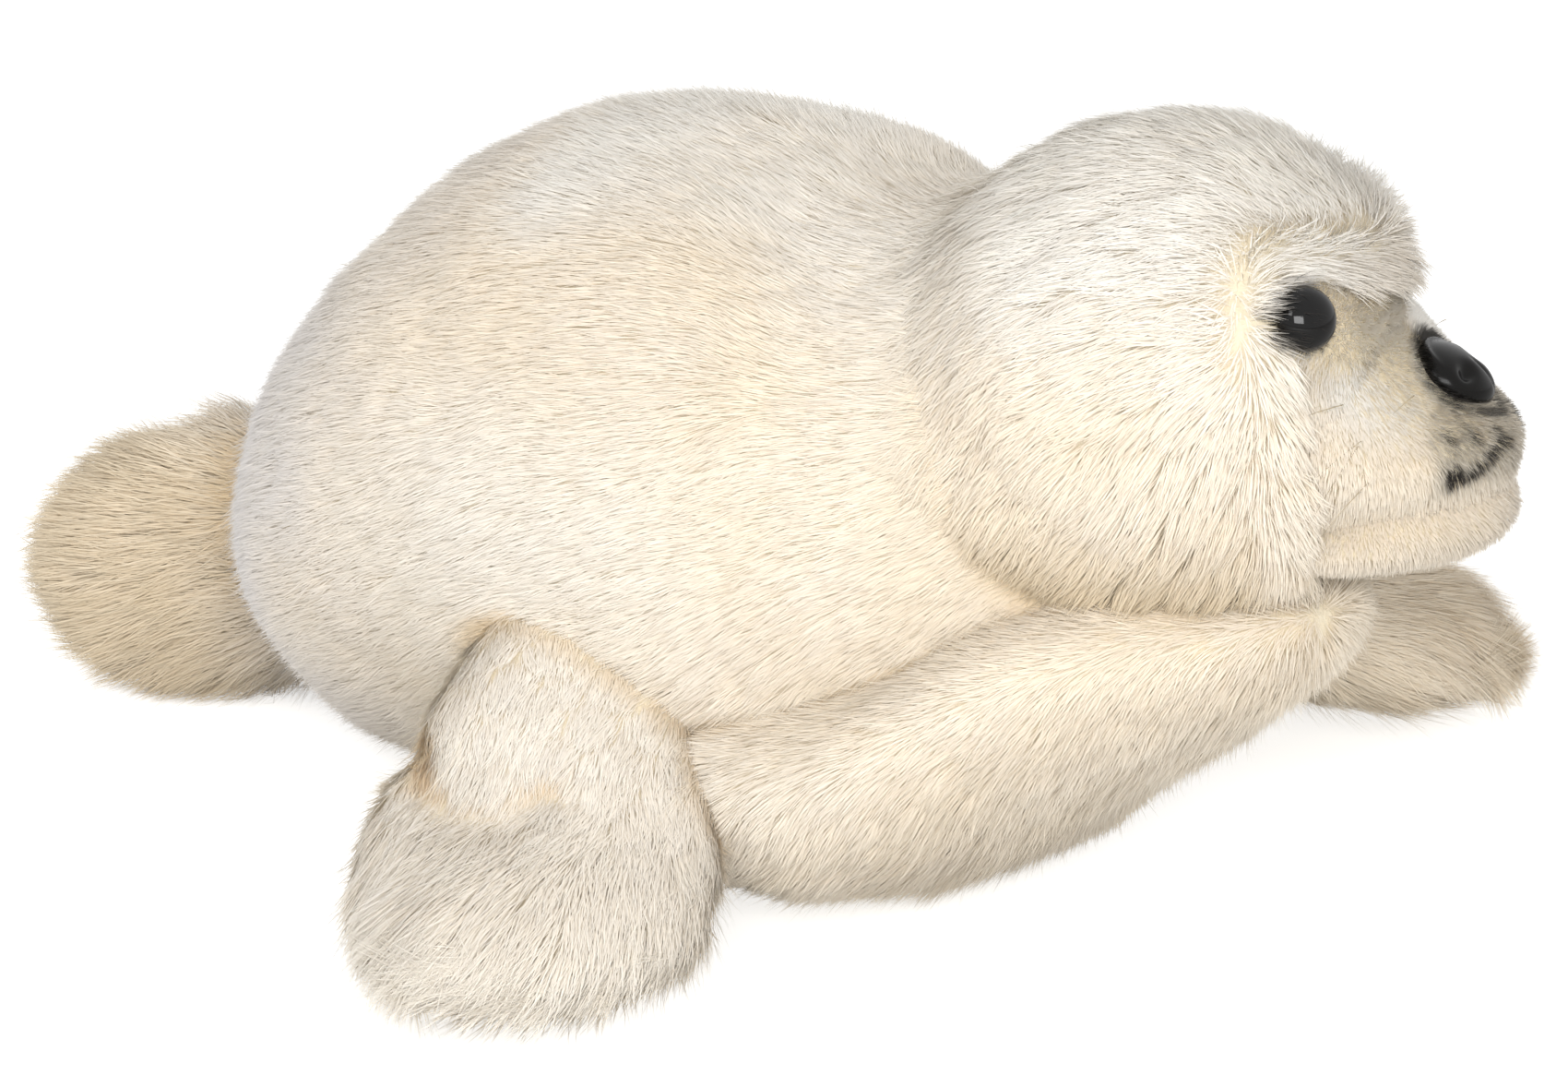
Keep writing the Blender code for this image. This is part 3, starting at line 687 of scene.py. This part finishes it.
def backing_material(name):
    """Knitted polyester backing with the matted base of the pile: a fine uneven nap, in patches of a warmer
    and a paler cream."""
    material, tree, shader = new_material(name, (("Roughness", 0.95), ("Specular IOR Level", 0.1)))
    place = node(tree, "ShaderNodeTexCoord")
    on_piece = (("Vector", place, "Object"),)
    nap = node(tree, "ShaderNodeTexNoise", (("Scale", NAP), ("Detail", 3.0)), on_piece)
    patch = node(tree, "ShaderNodeTexNoise", (("Scale", PATCHES), ("Detail", 2.0)), on_piece)
    ramp = node(tree, "ShaderNodeValToRGB", (), (("Fac", patch, "Fac"),))
    ramp.color_ramp.elements[0].color = (*(BACKING * 0.86), 1)
    ramp.color_ramp.elements[1].color = (*BACKING, 1)
    bump = node(tree, "ShaderNodeBump", (("Strength", 0.6), ("Distance", 0.8 * MM)), (("Height", nap, "Fac"),))
    tree.links.new(ramp.outputs["Color"], shader.inputs["Base Color"])
    tree.links.new(bump.outputs["Normal"], shader.inputs["Normal"])
    return material


def plastic_material(name, colour, roughness, grain, shine=0.3):
    """Moulded plastic with a very faint uneven gloss and tone, its grain given to the metre."""
    material, tree, shader = new_material(name, (("IOR", 1.49), ("Specular IOR Level", shine)))
    place = node(tree, "ShaderNodeTexCoord")
    uneven = node(
        tree, "ShaderNodeTexNoise", (("Scale", grain), ("Detail", 2.0)), (("Vector", place, "Object"),)
    )
    gloss = node(
        tree, "ShaderNodeMapRange", (("To Min", roughness * 0.8), ("To Max", roughness * 1.3)),
        (("Value", uneven, "Fac"),),
    )
    tone = node(tree, "ShaderNodeValToRGB", (), (("Fac", uneven, "Fac"),))
    tone.color_ramp.elements[0].color = (*(colour * 0.85), 1)
    tone.color_ramp.elements[1].color = (*(colour * 1.15), 1)
    tree.links.new(tone.outputs["Color"], shader.inputs["Base Color"])
    tree.links.new(gloss.outputs["Result"], shader.inputs["Roughness"])
    return material


# The trunk's and flippers' pile, long and combed, and the face's, short and plush
long_pile = pile_material("long_acrylic_pile", 0.85, 0.12)
short_pile = pile_material("short_plush_pile", 0.9, 0.10)
backing = backing_material("knitted_backing")
# Polished acrylic eyes, uneven over 2.5 mm; a nose moulded with a satin grain of 0.7 mm; nylon in its own
# colour for the washers, uneven over 2 mm; and drawn nylon thread, uneven over 1.4 mm
eye_plastic = plastic_material("moulded_black_eye", linear("#0d0c0c"), 0.05, 400.0)
nose_plastic = plastic_material("moulded_black_nose", linear("#121110"), 0.2, 1500.0, 0.16)
washer_plastic = plastic_material("natural_nylon_washer", linear("#d8d6cc"), 0.4, 500.0)
thread_plastic = plastic_material("clear_nylon_thread", linear("#a89878"), 0.3, 700.0)


# Colour of the pile


def near_any(local, spots, radius):
    """1 at any spot and 0 beyond its radius, eased, on both sides of the face."""
    mirrored = local.copy()
    mirrored[:, 1] = np.abs(mirrored[:, 1])
    far = np.min([np.linalg.norm(mirrored - spot, axis=-1) for spot in spots], axis=0)
    return smoothstep(radius, radius * 0.55, far)


def near_line(local, line, radius):
    """1 on a polyline and 0 beyond radius, eased, on both sides of the face."""
    mirrored = local.copy()
    mirrored[:, 1] = np.abs(mirrored[:, 1])
    return smoothstep(radius, radius * 0.5, line_distance(mirrored, line))


def mix(a, b, share):
    """a where share is 0, b where it is 1. Either may be one colour for all."""
    return a * (1 - share[:, None]) + b * share[:, None]


def body_colour(place, near):
    """Root and tip colours: cream pile, warmer in patches at random, with painted shade: warmer in creases,
    hollows, the wrist fold and low places, darker on the far front flipper, greyer towards the tail and
    browner on it. Painted light makes it paler and cooler high up and on the right front flipper. near is 1
    where a hair touches a neighbouring form. Bounds are in metres."""
    patch = noise(place, 0.028, 51)
    high, back, left = place[:, 2], place[:, 0], place[:, 1]
    # Painted light: paler, cooler pile high up
    top = smoothstep(0.130, 0.175, high + 0.02 * patch) * 0.9
    # Painted shade: greyer pile towards the tail
    grey = smoothstep(-0.06, -0.17, back + 0.02 * patch) * 0.9
    # Painted shade: browner pile on the tail, in place of the grey
    tail = smoothstep(-0.150, -0.185, back) * smoothstep(0.085, 0.060, high)
    grey = grey * (1 - tail)
    # Painted light: paler, cooler pile on the right front flipper, which takes no painted shade of low places
    hand = smoothstep(-0.075, -0.095, left)
    # Painted shade: darker pile in low places, in patches, and on the far front flipper
    shade = smoothstep(0.060, 0.010, high) * (0.15 + 0.4 * patch).clip(0, 1) * (1 - hand)
    shade = np.maximum(shade, smoothstep(0.085, 0.105, left) * 0.45)
    top = np.maximum(top, hand * 0.55) * (1 - grey)
    warm = np.clip(0.35 + 0.45 * noise(place, 0.022, 52), 0, 1) * (1 - grey) * (1 - top)
    # Painted shade in the wrist fold and where a hair touches another form
    fold = smoothstep(7.0, 1.0, line_distance(place / MM, WRIST_FOLD))
    crease = np.maximum(near * 0.8 * smoothstep(0.150, 0.110, high), fold * 0.8)
    tip = mix(CREAM_TIP, WARM_TIP, warm)
    for colour, share in ((LIT_TOP_TIP, top), (REAR_SHADE_TIP, grey), (SHADE_TIP, shade), (BROWN_SHADE_TIP, tail * 0.9)):
        tip = mix(tip, colour, share)
    low = mix(CREAM_ROOT, TOP_ROOT, np.maximum(top, grey))
    low = mix(low, CREASE_SHADE, crease)
    tip = mix(tip, low, crease * 0.7)
    return low, tip


def face_colour(place, near):
    """Root and tip colours of the head: cream, with painted shade under the cheeks, on the jaw and on the
    brow's front, painted light on the face beside the eyes, and dyed places: rings round the eyes, spots on the
    brow, the nose's edge, pad and mouth, with a little painted shade under the brow. Bounds are in head
    millimetres."""
    low, tip = body_colour(place, near * 0.3)
    local = head_local(place)
    ahead, aside, above = local[:, 0], np.abs(local[:, 1]), local[:, 2]
    wobble = 0.8 * noise(place, 0.003, 61)
    # Painted shade under the cheeks
    cheek = 0.8 * smoothstep(-8, -38, above) * smoothstep(34, 22, ahead)
    tip = mix(tip, BROWN_SHADE_TIP, cheek)
    low = mix(low, BROWN_SHADE_TIP, cheek * 0.9)
    # Painted shade on the jaw
    jaw = 0.35 * smoothstep(-21, -27, above) * smoothstep(34, 46, ahead)
    tip = mix(tip, GREY_SHADE_TIP, jaw)
    low = mix(low, GREY_SHADE_TIP, jaw)
    # Painted light on the face beside the eyes
    pale = near_any(local, [LIT_FACE_SPOT], 30) * 0.9
    tip = mix(tip, LIT_TOP_TIP, pale)
    low = mix(low, TOP_ROOT, pale)
    # Painted shade on the brow's front
    front = smoothstep(36, 52, ahead) * smoothstep(46, 36, above) * smoothstep(24, 28, above)
    tip = mix(tip, GREY_SHADE_TIP, front * 0.7)

    # Grey dye on the pads, and a little painted shade under the brow
    under = smoothstep(43, 50, ahead) * smoothstep(19, 25, above) * smoothstep(33, 28, above)
    pad = smoothstep(60.5, 63.5, ahead) * smoothstep(33, 29, aside)
    pad = pad * smoothstep(-16, -12, above) * smoothstep(9, 5, above)
    grey = np.clip(np.maximum(pad * (0.42 + 0.25 * noise(place, 0.004, 62)), under * 0.1), 0, 1)
    tip = mix(tip, GREY_DYE_AND_SHADE, grey)
    low = mix(low, GREY_DYE_AND_SHADE * 0.7, grey)

    ring = near_any(local, [EYE + 1.5 * EYE_AXIS], 11.6 + 2.4 * wobble)
    ring = np.maximum(ring, near_any(local, [EYE + (-1.5, 0.5, 9.5)], 4.6))
    brow = near_any(local, [BROW_SPOT], 3.2) * 0.6
    brow = np.maximum(brow, near_any(local, [CHEEK_SPOT], 2.8) * 0.5)
    spots = near_any(local, PAD_SPOTS, 3.3 + 0.9 * wobble)
    spots = np.maximum(spots, near_line(local, PAD_LINE, 2.6 + 0.7 * wobble))
    mouth = np.maximum(near_line(local, MOUTH_LINE, 2.7), near_any(local, [MOUTH_TUFT], 4.0 + wobble))
    around_nose = np.linalg.norm((local - NOSE) / (11.5, 14.5, 10.5), axis=-1)
    rim = smoothstep(1.38, 1.06, around_nose + 0.05 * wobble) * smoothstep(-1.0, 3.0, above)
    dark = np.clip(np.maximum.reduce([ring, brow, spots * 0.85, mouth, rim]), 0, 1)
    return mix(low, DARK_DYE, dark), mix(tip, DARK_DYE, dark)


# Combing


def swept(back, out, down):
    """Back along the body, out to both sides and down."""
    way, aside = np.array([-back, 0, -down]), np.array([0, out, 0])
    return lambda root: way + aside * np.sign(root[:, 1])[:, None]


def from_the_nose(root):
    """Away from a point between the nose and the eyes, and down, more so on the cheeks."""
    away = unit(root - head_place(0.060, 0, 0.010))
    local = head_local(root)
    fall = 0.12 + 0.65 * smoothstep(38, -12, local[:, 2])
    fall = fall + 1.5 * smoothstep(-12, 30, local[:, 0]) * smoothstep(24, 0, local[:, 2])
    return away - fall[:, None] * np.array([0, 0, 1.0])


def share_along(form, root):
    """Where the roots lie along a form, from 0 at its rear to 1 at its end."""
    return (root - form.rear) @ form.rotation[:, 0] / form.length


def toward_the_hand(form):
    """Along the flipper, fanning out to its edges and falling where it ends."""
    heading, across = form.rotation[:, 0], form.rotation[:, 1]

    def comb(root):
        local = (root - form.rear) @ form.rotation
        spread = 0.9 * local[:, 1] / 0.045 - 0.35
        tip = smoothstep(0.45, 0.95, share_along(form, root))
        return heading + across * (spread * tip)[:, None] - np.array([0, 0, 0.3])

    return comb


def growing(form, low, high, start, stop):
    """From low to high between two shares of the form's length."""
    return lambda root: low + (high - low) * smoothstep(start, stop, share_along(form, root))


def toward_the_tip(rear):
    """Along the rear flipper and a little down."""
    return lambda root: np.broadcast_to(rear.rotation[:, 0] + np.array([0, 0, -0.15]), root.shape)


def is_face(root):
    """True in front of the hood's edge and under the brow, where the pile is short."""
    ahead, below = hood_edge(head_local(root))
    uneven = 1.2 * noise(root, 0.006, 71)
    return (ahead > uneven) & (below > uneven)


def rim_share(root):
    """From 0 to 1 over the last 14 mm of the hood before the face."""
    ahead, below = hood_edge(head_local(root))
    return smoothstep(-14, -3, ahead) * smoothstep(-14, -3, below)


def by_the_eye(root):
    """From 0 to 1 close to an eye."""
    return near_any(head_local(root), [EYE], 19)


def hood_lift(root):
    """The pile lies back on the hood, stands up a little at its rim and most where it parts over the brow."""
    rim = rim_share(root)
    brow = smoothstep(22, 30, head_local(root)[:, 2])
    parting = 4 * rim * (1 - rim) * brow
    return 14 + 18 * rim + 44 * parting * (1 - 0.5 * by_the_eye(root))


def hood_comb(root):
    """Back and down on the hood. At the rim it hangs down the cheeks and reaches over the brow to the front."""
    rim = rim_share(root)[:, None]
    brow = smoothstep(22, 30, head_local(root)[:, 2])[:, None]
    ahead = turned(HEAD_TURN, 0) @ np.array([1.0, 0, 0])
    over = ahead * (0.45 + 0.55 * brow) - np.array([0, 0, 1.0]) * (0.9 - 0.6 * brow)
    return from_the_nose(root) * (1 - rim) + over * rim


def hood_length(root):
    """11 mm on the hood, 9 mm at its rim, and half a millimetre more beside the eyes."""
    return 11.0 - 2.0 * rim_share(root) + 0.5 * by_the_eye(root)


# Skins


skins = [
    ("trunk_backing", BACK, 70, 90, ("back_skin", "trunk_filling")),
    ("belly_backing", BELLY, 48, 64, ("belly_skin",)),
    ("hood_backing", HEAD, 90, 110, ("head_skin", "head_filling")),
    ("muzzle_backing", MUZZLE, 36, 48, ("muzzle_skin", "muzzle_filling")),
    ("jaw_backing", JAW, 30, 40, ("lower_jaw_skin", "lower_jaw_filling")),
]
for name, form, rings, around in (
    ("front_flipper_right", RIGHT_FRONT, 60, 60), ("front_flipper_left", LEFT_FRONT, 60, 60),
    ("rear_flipper_right", RIGHT_REAR, 36, 48), ("rear_flipper_left", LEFT_REAR, 36, 48),
):
    skins.append((name + "_backing", form, rings, around, (name + "_skin", name + "_filling")))
for name, form, rings, around, nodes in skins:
    skin = skin_mesh(name, form, rings, around)
    fit(skin, backing, "short_pile" if form in (MUZZLE, JAW) else "long_pile", *nodes)


# Pile

# Trunk and belly: the pile lies flat and close. None grows where the seal rests on the table.
BODY_PILE = dict(per_mm2=2.7, length=9.0, width=0.28, tuft=7.0, lean=0.26, colour=body_colour, bent=False)
LOWEST_ROOT = 0.009

right_half = Pile("trunk_pile_right")
left_half = Pile("trunk_pile_left")
for pile, side in ((right_half, -1), (left_half, 1)):
    pile.grow(
        BACK, lift=13, comb=swept(1, 0.12, 0.45), seed=100 + side, **BODY_PILE,
        keep=lambda root, normal, rng, side=side: (np.sign(root[:, 1] + 1e-9) == side)
        & (root[:, 2] > LOWEST_ROOT),
    )
belly_pile = Pile("belly_pile")
belly_pile.grow(
    BELLY, lift=15, comb=swept(0.7, 0.25, 0.6), seed=110, **BODY_PILE,
    keep=lambda root, normal, rng: (normal[:, 2] > -0.93) & (root[:, 2] > LOWEST_ROOT + MM),
)

# Head: a long shaggy hood, and a short plush face with muzzle and jaw
FACE_PILE = dict(
    per_mm2=6.0, length=3.4, lift=42, width=0.28, comb=from_the_nose, tuft=2.6, lean=0.2, colour=face_colour,
    bent=False, sink=0.3,
)
hood_pile = Pile("hood_pile")
hood_pile.grow(
    HEAD, per_mm2=2.9, length=hood_length, lift=hood_lift, width=0.29, comb=hood_comb, tuft=8.0, lean=0.45,
    seed=120, colour=face_colour, keep=lambda root, normal, rng: ~is_face(root), sink=0.1, stray=0.06,
)
face_pile = Pile("face_pile")
face_pile.grow(HEAD, seed=130, keep=lambda root, normal, rng: is_face(root), **FACE_PILE)
face_pile.grow(MUZZLE, seed=131, **FACE_PILE)
face_pile.grow(JAW, seed=132, **FACE_PILE)

# Flippers: the longest and loosest pile, thin underneath
flippers = []
for name, form, seed in (
    ("front_flipper_right_pile", RIGHT_FRONT, 140),
    ("front_flipper_left_pile", LEFT_FRONT, 150),
):
    pile = Pile(name)
    pile.grow(
        form, per_mm2=2.6, length=growing(form, 9, 17, 0.3, 0.85), lift=growing(form, 8, 14, 0.6, 0.95),
        width=0.30, comb=toward_the_hand(form), tuft=8.5, lean=0.45, seed=seed, colour=body_colour,
        keep=lambda root, normal, rng: (normal[:, 2] > -0.9) | (rng.random(len(root)) < 0.1),
        sink=0.5, stray=0.08, bend=3,
    )
    flippers.append(pile)
for name, form, seed in (
    ("rear_flipper_right_pile", RIGHT_REAR, 160),
    ("rear_flipper_left_pile", LEFT_REAR, 170),
):
    pile = Pile(name)
    pile.grow(
        form, per_mm2=2.0, length=17.0, lift=20, width=0.32, comb=toward_the_tip(form), tuft=8.0, lean=0.55,
        seed=seed, colour=body_colour, stray=0.12,
    )
    flippers.append(pile)

for pile in (right_half, left_half, belly_pile, hood_pile, *flippers):
    pile.finish(long_pile, "long_pile")
face_pile.finish(short_pile, "short_pile")


# Eyes, nose and whiskers


def dome(name, centre, normal, across, half_wide, half_tall, high, rings, around, shape=None):
    """A moulded dome with a closed flat back.

    The radius is sin(t) and the height cos(t) to the power 0.9, and then a rim turns in under it. shape moves
    the points, given across, along the third axis, up the normal, and by their share of the radius.
    """
    third = unit(np.cross(normal, across))
    across = np.cross(third, normal)
    t = np.linspace(0, math.pi / 2, rings + 1)[1:]
    radius = np.concatenate([np.sin(t), [0.9, 0.45]])
    height = np.concatenate([np.cos(t) ** 0.9, [-0.16, -0.18]])
    angle = -np.linspace(0, math.tau, around, endpoint=False)
    r, a = np.meshgrid(radius, angle, indexing="ij")
    x, y = r * np.cos(a) * half_wide, r * np.sin(a) * half_tall
    z = np.broadcast_to(height[:, None], r.shape) * high
    if shape:
        x, y, z = shape(x, y, z, r)
    grid = centre + x[..., None] * across + y[..., None] * third + z[..., None] * normal
    top, bottom = centre + normal * high, centre + normal * high * height[-1]
    points = np.concatenate([[top], grid.reshape(-1, 3), [bottom]])
    return add_mesh(name, points, closed_grid(len(radius), around))


for name, side in (("eye_left", 1), ("eye_right", -1)):
    mirror = np.array([1, side, 1])
    axis = turned(HEAD_TURN, 0) @ unit(EYE_AXIS * mirror)
    eye = dome(
        name + "_dome", head_place(*(EYE * mirror * MM)), axis, np.cross((0, 0, 1), axis),
        half_wide=0.0074, half_tall=0.0074, high=0.0060, rings=20, around=40,
    )
    fit(eye, eye_plastic, "black_plastic", name)


def nose_shape(x, y, z, r):
    """A broad rounded triangle with a raised rim along its upper edge, a nostril pressed in at each side and a
    groove down its middle, each a bell curve of the distance. All in metres."""
    tall = y / 0.0105
    x = x * (1 + 0.10 * tall)
    rim = 0.0009 * np.exp(-(((r - 0.86) / 0.08) ** 2)) * smoothstep(0.1, 0.8, tall)
    nostril = 0.0022 * np.exp(-(((np.abs(x) - 0.0062) / 0.0024) ** 2) - (((y + 0.0022) / 0.0020) ** 2))
    groove = 0.0006 * np.exp(-((x / 0.0008) ** 2)) * smoothstep(0.0, -0.006, y)
    return x, y, z + rim - nostril - groove


NOSE_TILT = -62
nose = dome(
    "nose_button", head_place(0.0634, 0, 0.0048),
    turned(HEAD_TURN, NOSE_TILT) @ np.array([1.0, 0, 0]), turned(HEAD_TURN, 0) @ np.array([0, 1.0, 0]),
    half_wide=0.0112, half_tall=0.0106, high=0.0062, rings=28, around=64, shape=nose_shape,
)
fit(nose, nose_plastic, "black_plastic", "nose")

for name in ("eye_left_washer", "eye_right_washer", "nose_washer"):
    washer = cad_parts[name]
    washer.data.materials.clear()
    washer.data.materials.append(washer_plastic)


def thread_tube(paths, radius, around=6):
    """Round threads along paths: each ring is radius times (cos, sin) in two directions square to the line,
    and thins to 0.3 of it at the free end. Both ends are closed."""
    points, faces = [], []
    start = 0
    for path in paths:
        run = unit(np.gradient(path, axis=0))
        side = unit(np.cross(run, np.array([0.1, 0.2, 1.0])))
        other = np.cross(run, side)
        angle = np.linspace(0, math.tau, around, endpoint=False)[None, :, None]
        thick = radius * np.linspace(1, 0.3, len(path))[:, None, None]
        ring = path[:, None] + thick * (side[:, None] * np.cos(angle) + other[:, None] * np.sin(angle))
        points.append(np.concatenate([path[:1], ring.reshape(-1, 3), path[-1:]]))
        faces.append(closed_grid(len(path), around) + start)
        start += len(path) * around + 2
    return np.concatenate(points), np.concatenate(faces)


def whisker(ahead, aside, above, back, out, down, long_mm):
    """A thread bent by its own weight: start plus s times its direction, minus s squared times a sag."""
    s = np.linspace(0, 1, 9)[:, None]
    way = unit(np.array([-back, np.sign(aside) * out, -down]))
    local = np.array([ahead, aside, above]) + way * s * long_mm + np.array([0, 0, -1.0]) * s**2 * long_mm * 0.12
    return (local * MM) @ turned(HEAD_TURN, 0).T + HEAD_MIDDLE


# Each whisker: where it leaves the muzzle in head millimetres, its direction, and its length in millimetres
WHISKERS = (
    (48.5, 43.0, 1.5, 0.75, 0.35, 0.55, 17),
    (48.0, 43.2, 0.5, 0.62, 0.35, 0.95, 19),
    (44.5, 44.5, 10.0, 0.9, 0.5, 0.15, 16),
    (58.5, 31.0, 9.0, 0.8, 0.6, 0.55, 6),
    (50.5, 41.5, -8.0, 0.7, 0.5, 0.7, 15),
)
THREAD_RADIUS = 0.11 * MM
threads = [whisker(ahead, side * aside, *rest) for side in (-1, 1) for ahead, aside, *rest in WHISKERS]
whiskers = add_mesh("whisker_threads", *thread_tube(threads, THREAD_RADIUS))
fit(whiskers, thread_plastic, "nylon", "whisker_thread_1", "whisker_thread_2", "whisker_thread_3")


# Floor, light and camera

WHITE = (*linear("#ffffff"), 1)
FLOOR_HALF = 6

# White paper: it takes a soft shadow, and glows to the camera so that it reads as white as the backdrop
corners = [(x * FLOOR_HALF, y * FLOOR_HALF, 0) for x, y in ((-1, -1), (1, -1), (1, 1), (-1, 1))]
floor_mesh = bpy.data.meshes.new("floor")
floor_mesh.from_pydata(corners, [], [(0, 1, 2, 3)])
floor = bpy.data.objects.new("floor", floor_mesh)
bpy.context.scene.collection.objects.link(floor)
floor_material, floor_tree, floor_shader = new_material("white_paper_sweep", (
    ("Base Color", (*linear("#f3f2f0"), 1)), ("Roughness", 0.9), ("Specular IOR Level", 0.0),
    ("Emission Color", WHITE),
))
seen_by = node(floor_tree, "ShaderNodeLightPath")
glow = node(
    floor_tree, "ShaderNodeMath", (("operation", "MULTIPLY"), (1, 0.67)), ((0, seen_by, "Is Camera Ray"),)
)
floor_tree.links.new(glow.outputs[0], floor_shader.inputs["Emission Strength"])
floor_mesh.materials.append(floor_material)

# White studio air: full white to the camera and in glossy and clear surfaces, and dimmer as a light
world = bpy.data.worlds.new("studio")
bpy.context.scene.world = world
world.use_nodes = True
sky = world.node_tree
backdrop = sky.nodes["Background"]
ray = node(sky, "ShaderNodeLightPath")
highest = (("operation", "MAXIMUM"),)
either = node(sky, "ShaderNodeMath", highest, ((0, ray, "Is Camera Ray"), (1, ray, "Is Glossy Ray")))
any_ray = node(sky, "ShaderNodeMath", highest, ((0, either, 0), (1, ray, "Is Transmission Ray")))
strength = node(sky, "ShaderNodeMapRange", (("To Min", 0.62), ("To Max", 1.0)), (("Value", any_ray, 0),))
sky.links.new(strength.outputs["Result"], backdrop.inputs["Strength"])
backdrop.inputs["Color"].default_value = WHITE


def softbox(name, place, size, watts):
    """A rectangular lamp aimed at the middle of the toy."""
    lamp = bpy.data.lights.new(name, "AREA")
    lamp.shape = "RECTANGLE"
    lamp.size, lamp.size_y = size
    lamp.energy = watts
    stand = bpy.data.objects.new(name, lamp)
    bpy.context.scene.collection.objects.link(stand)
    stand.location = place
    stand.rotation_euler = (Vector((0.0, 0.0, 0.08)) - Vector(place)).to_track_quat("-Z", "Y").to_euler()


softbox("front_softbox", (1.28, -1.38, 0.86), (1.1, 0.7), 25.5)
softbox("window_softbox", (0.2, -1.5, 1.25), (0.5, 0.4), 4)

# The photograph's view: angles round and over the toy, distance and aim in metres, and its scale
AZIMUTH, ELEVATION, DISTANCE = math.radians(40), math.radians(18), 1.5
AIM = np.array([0.0, -0.029, 0.083])
MM_PER_PIXEL, PHOTO_WIDTH, SENSOR = 0.215, 1700, 36
away = np.array([
    math.sin(AZIMUTH) * math.cos(ELEVATION), -math.cos(AZIMUTH) * math.cos(ELEVATION), math.sin(ELEVATION)
])
lens = bpy.data.cameras.new("camera")
camera = bpy.data.objects.new("camera", lens)
bpy.context.scene.collection.objects.link(camera)
camera.location = AIM + away * DISTANCE
camera.rotation_euler = Vector(-away).to_track_quat("-Z", "Y").to_euler()
lens.sensor_width = SENSOR
lens.lens = SENSOR * DISTANCE / (PHOTO_WIDTH * MM_PER_PIXEL * MM)
bpy.context.scene.camera = camera
bpy.context.scene.view_settings.view_transform = "Standard"
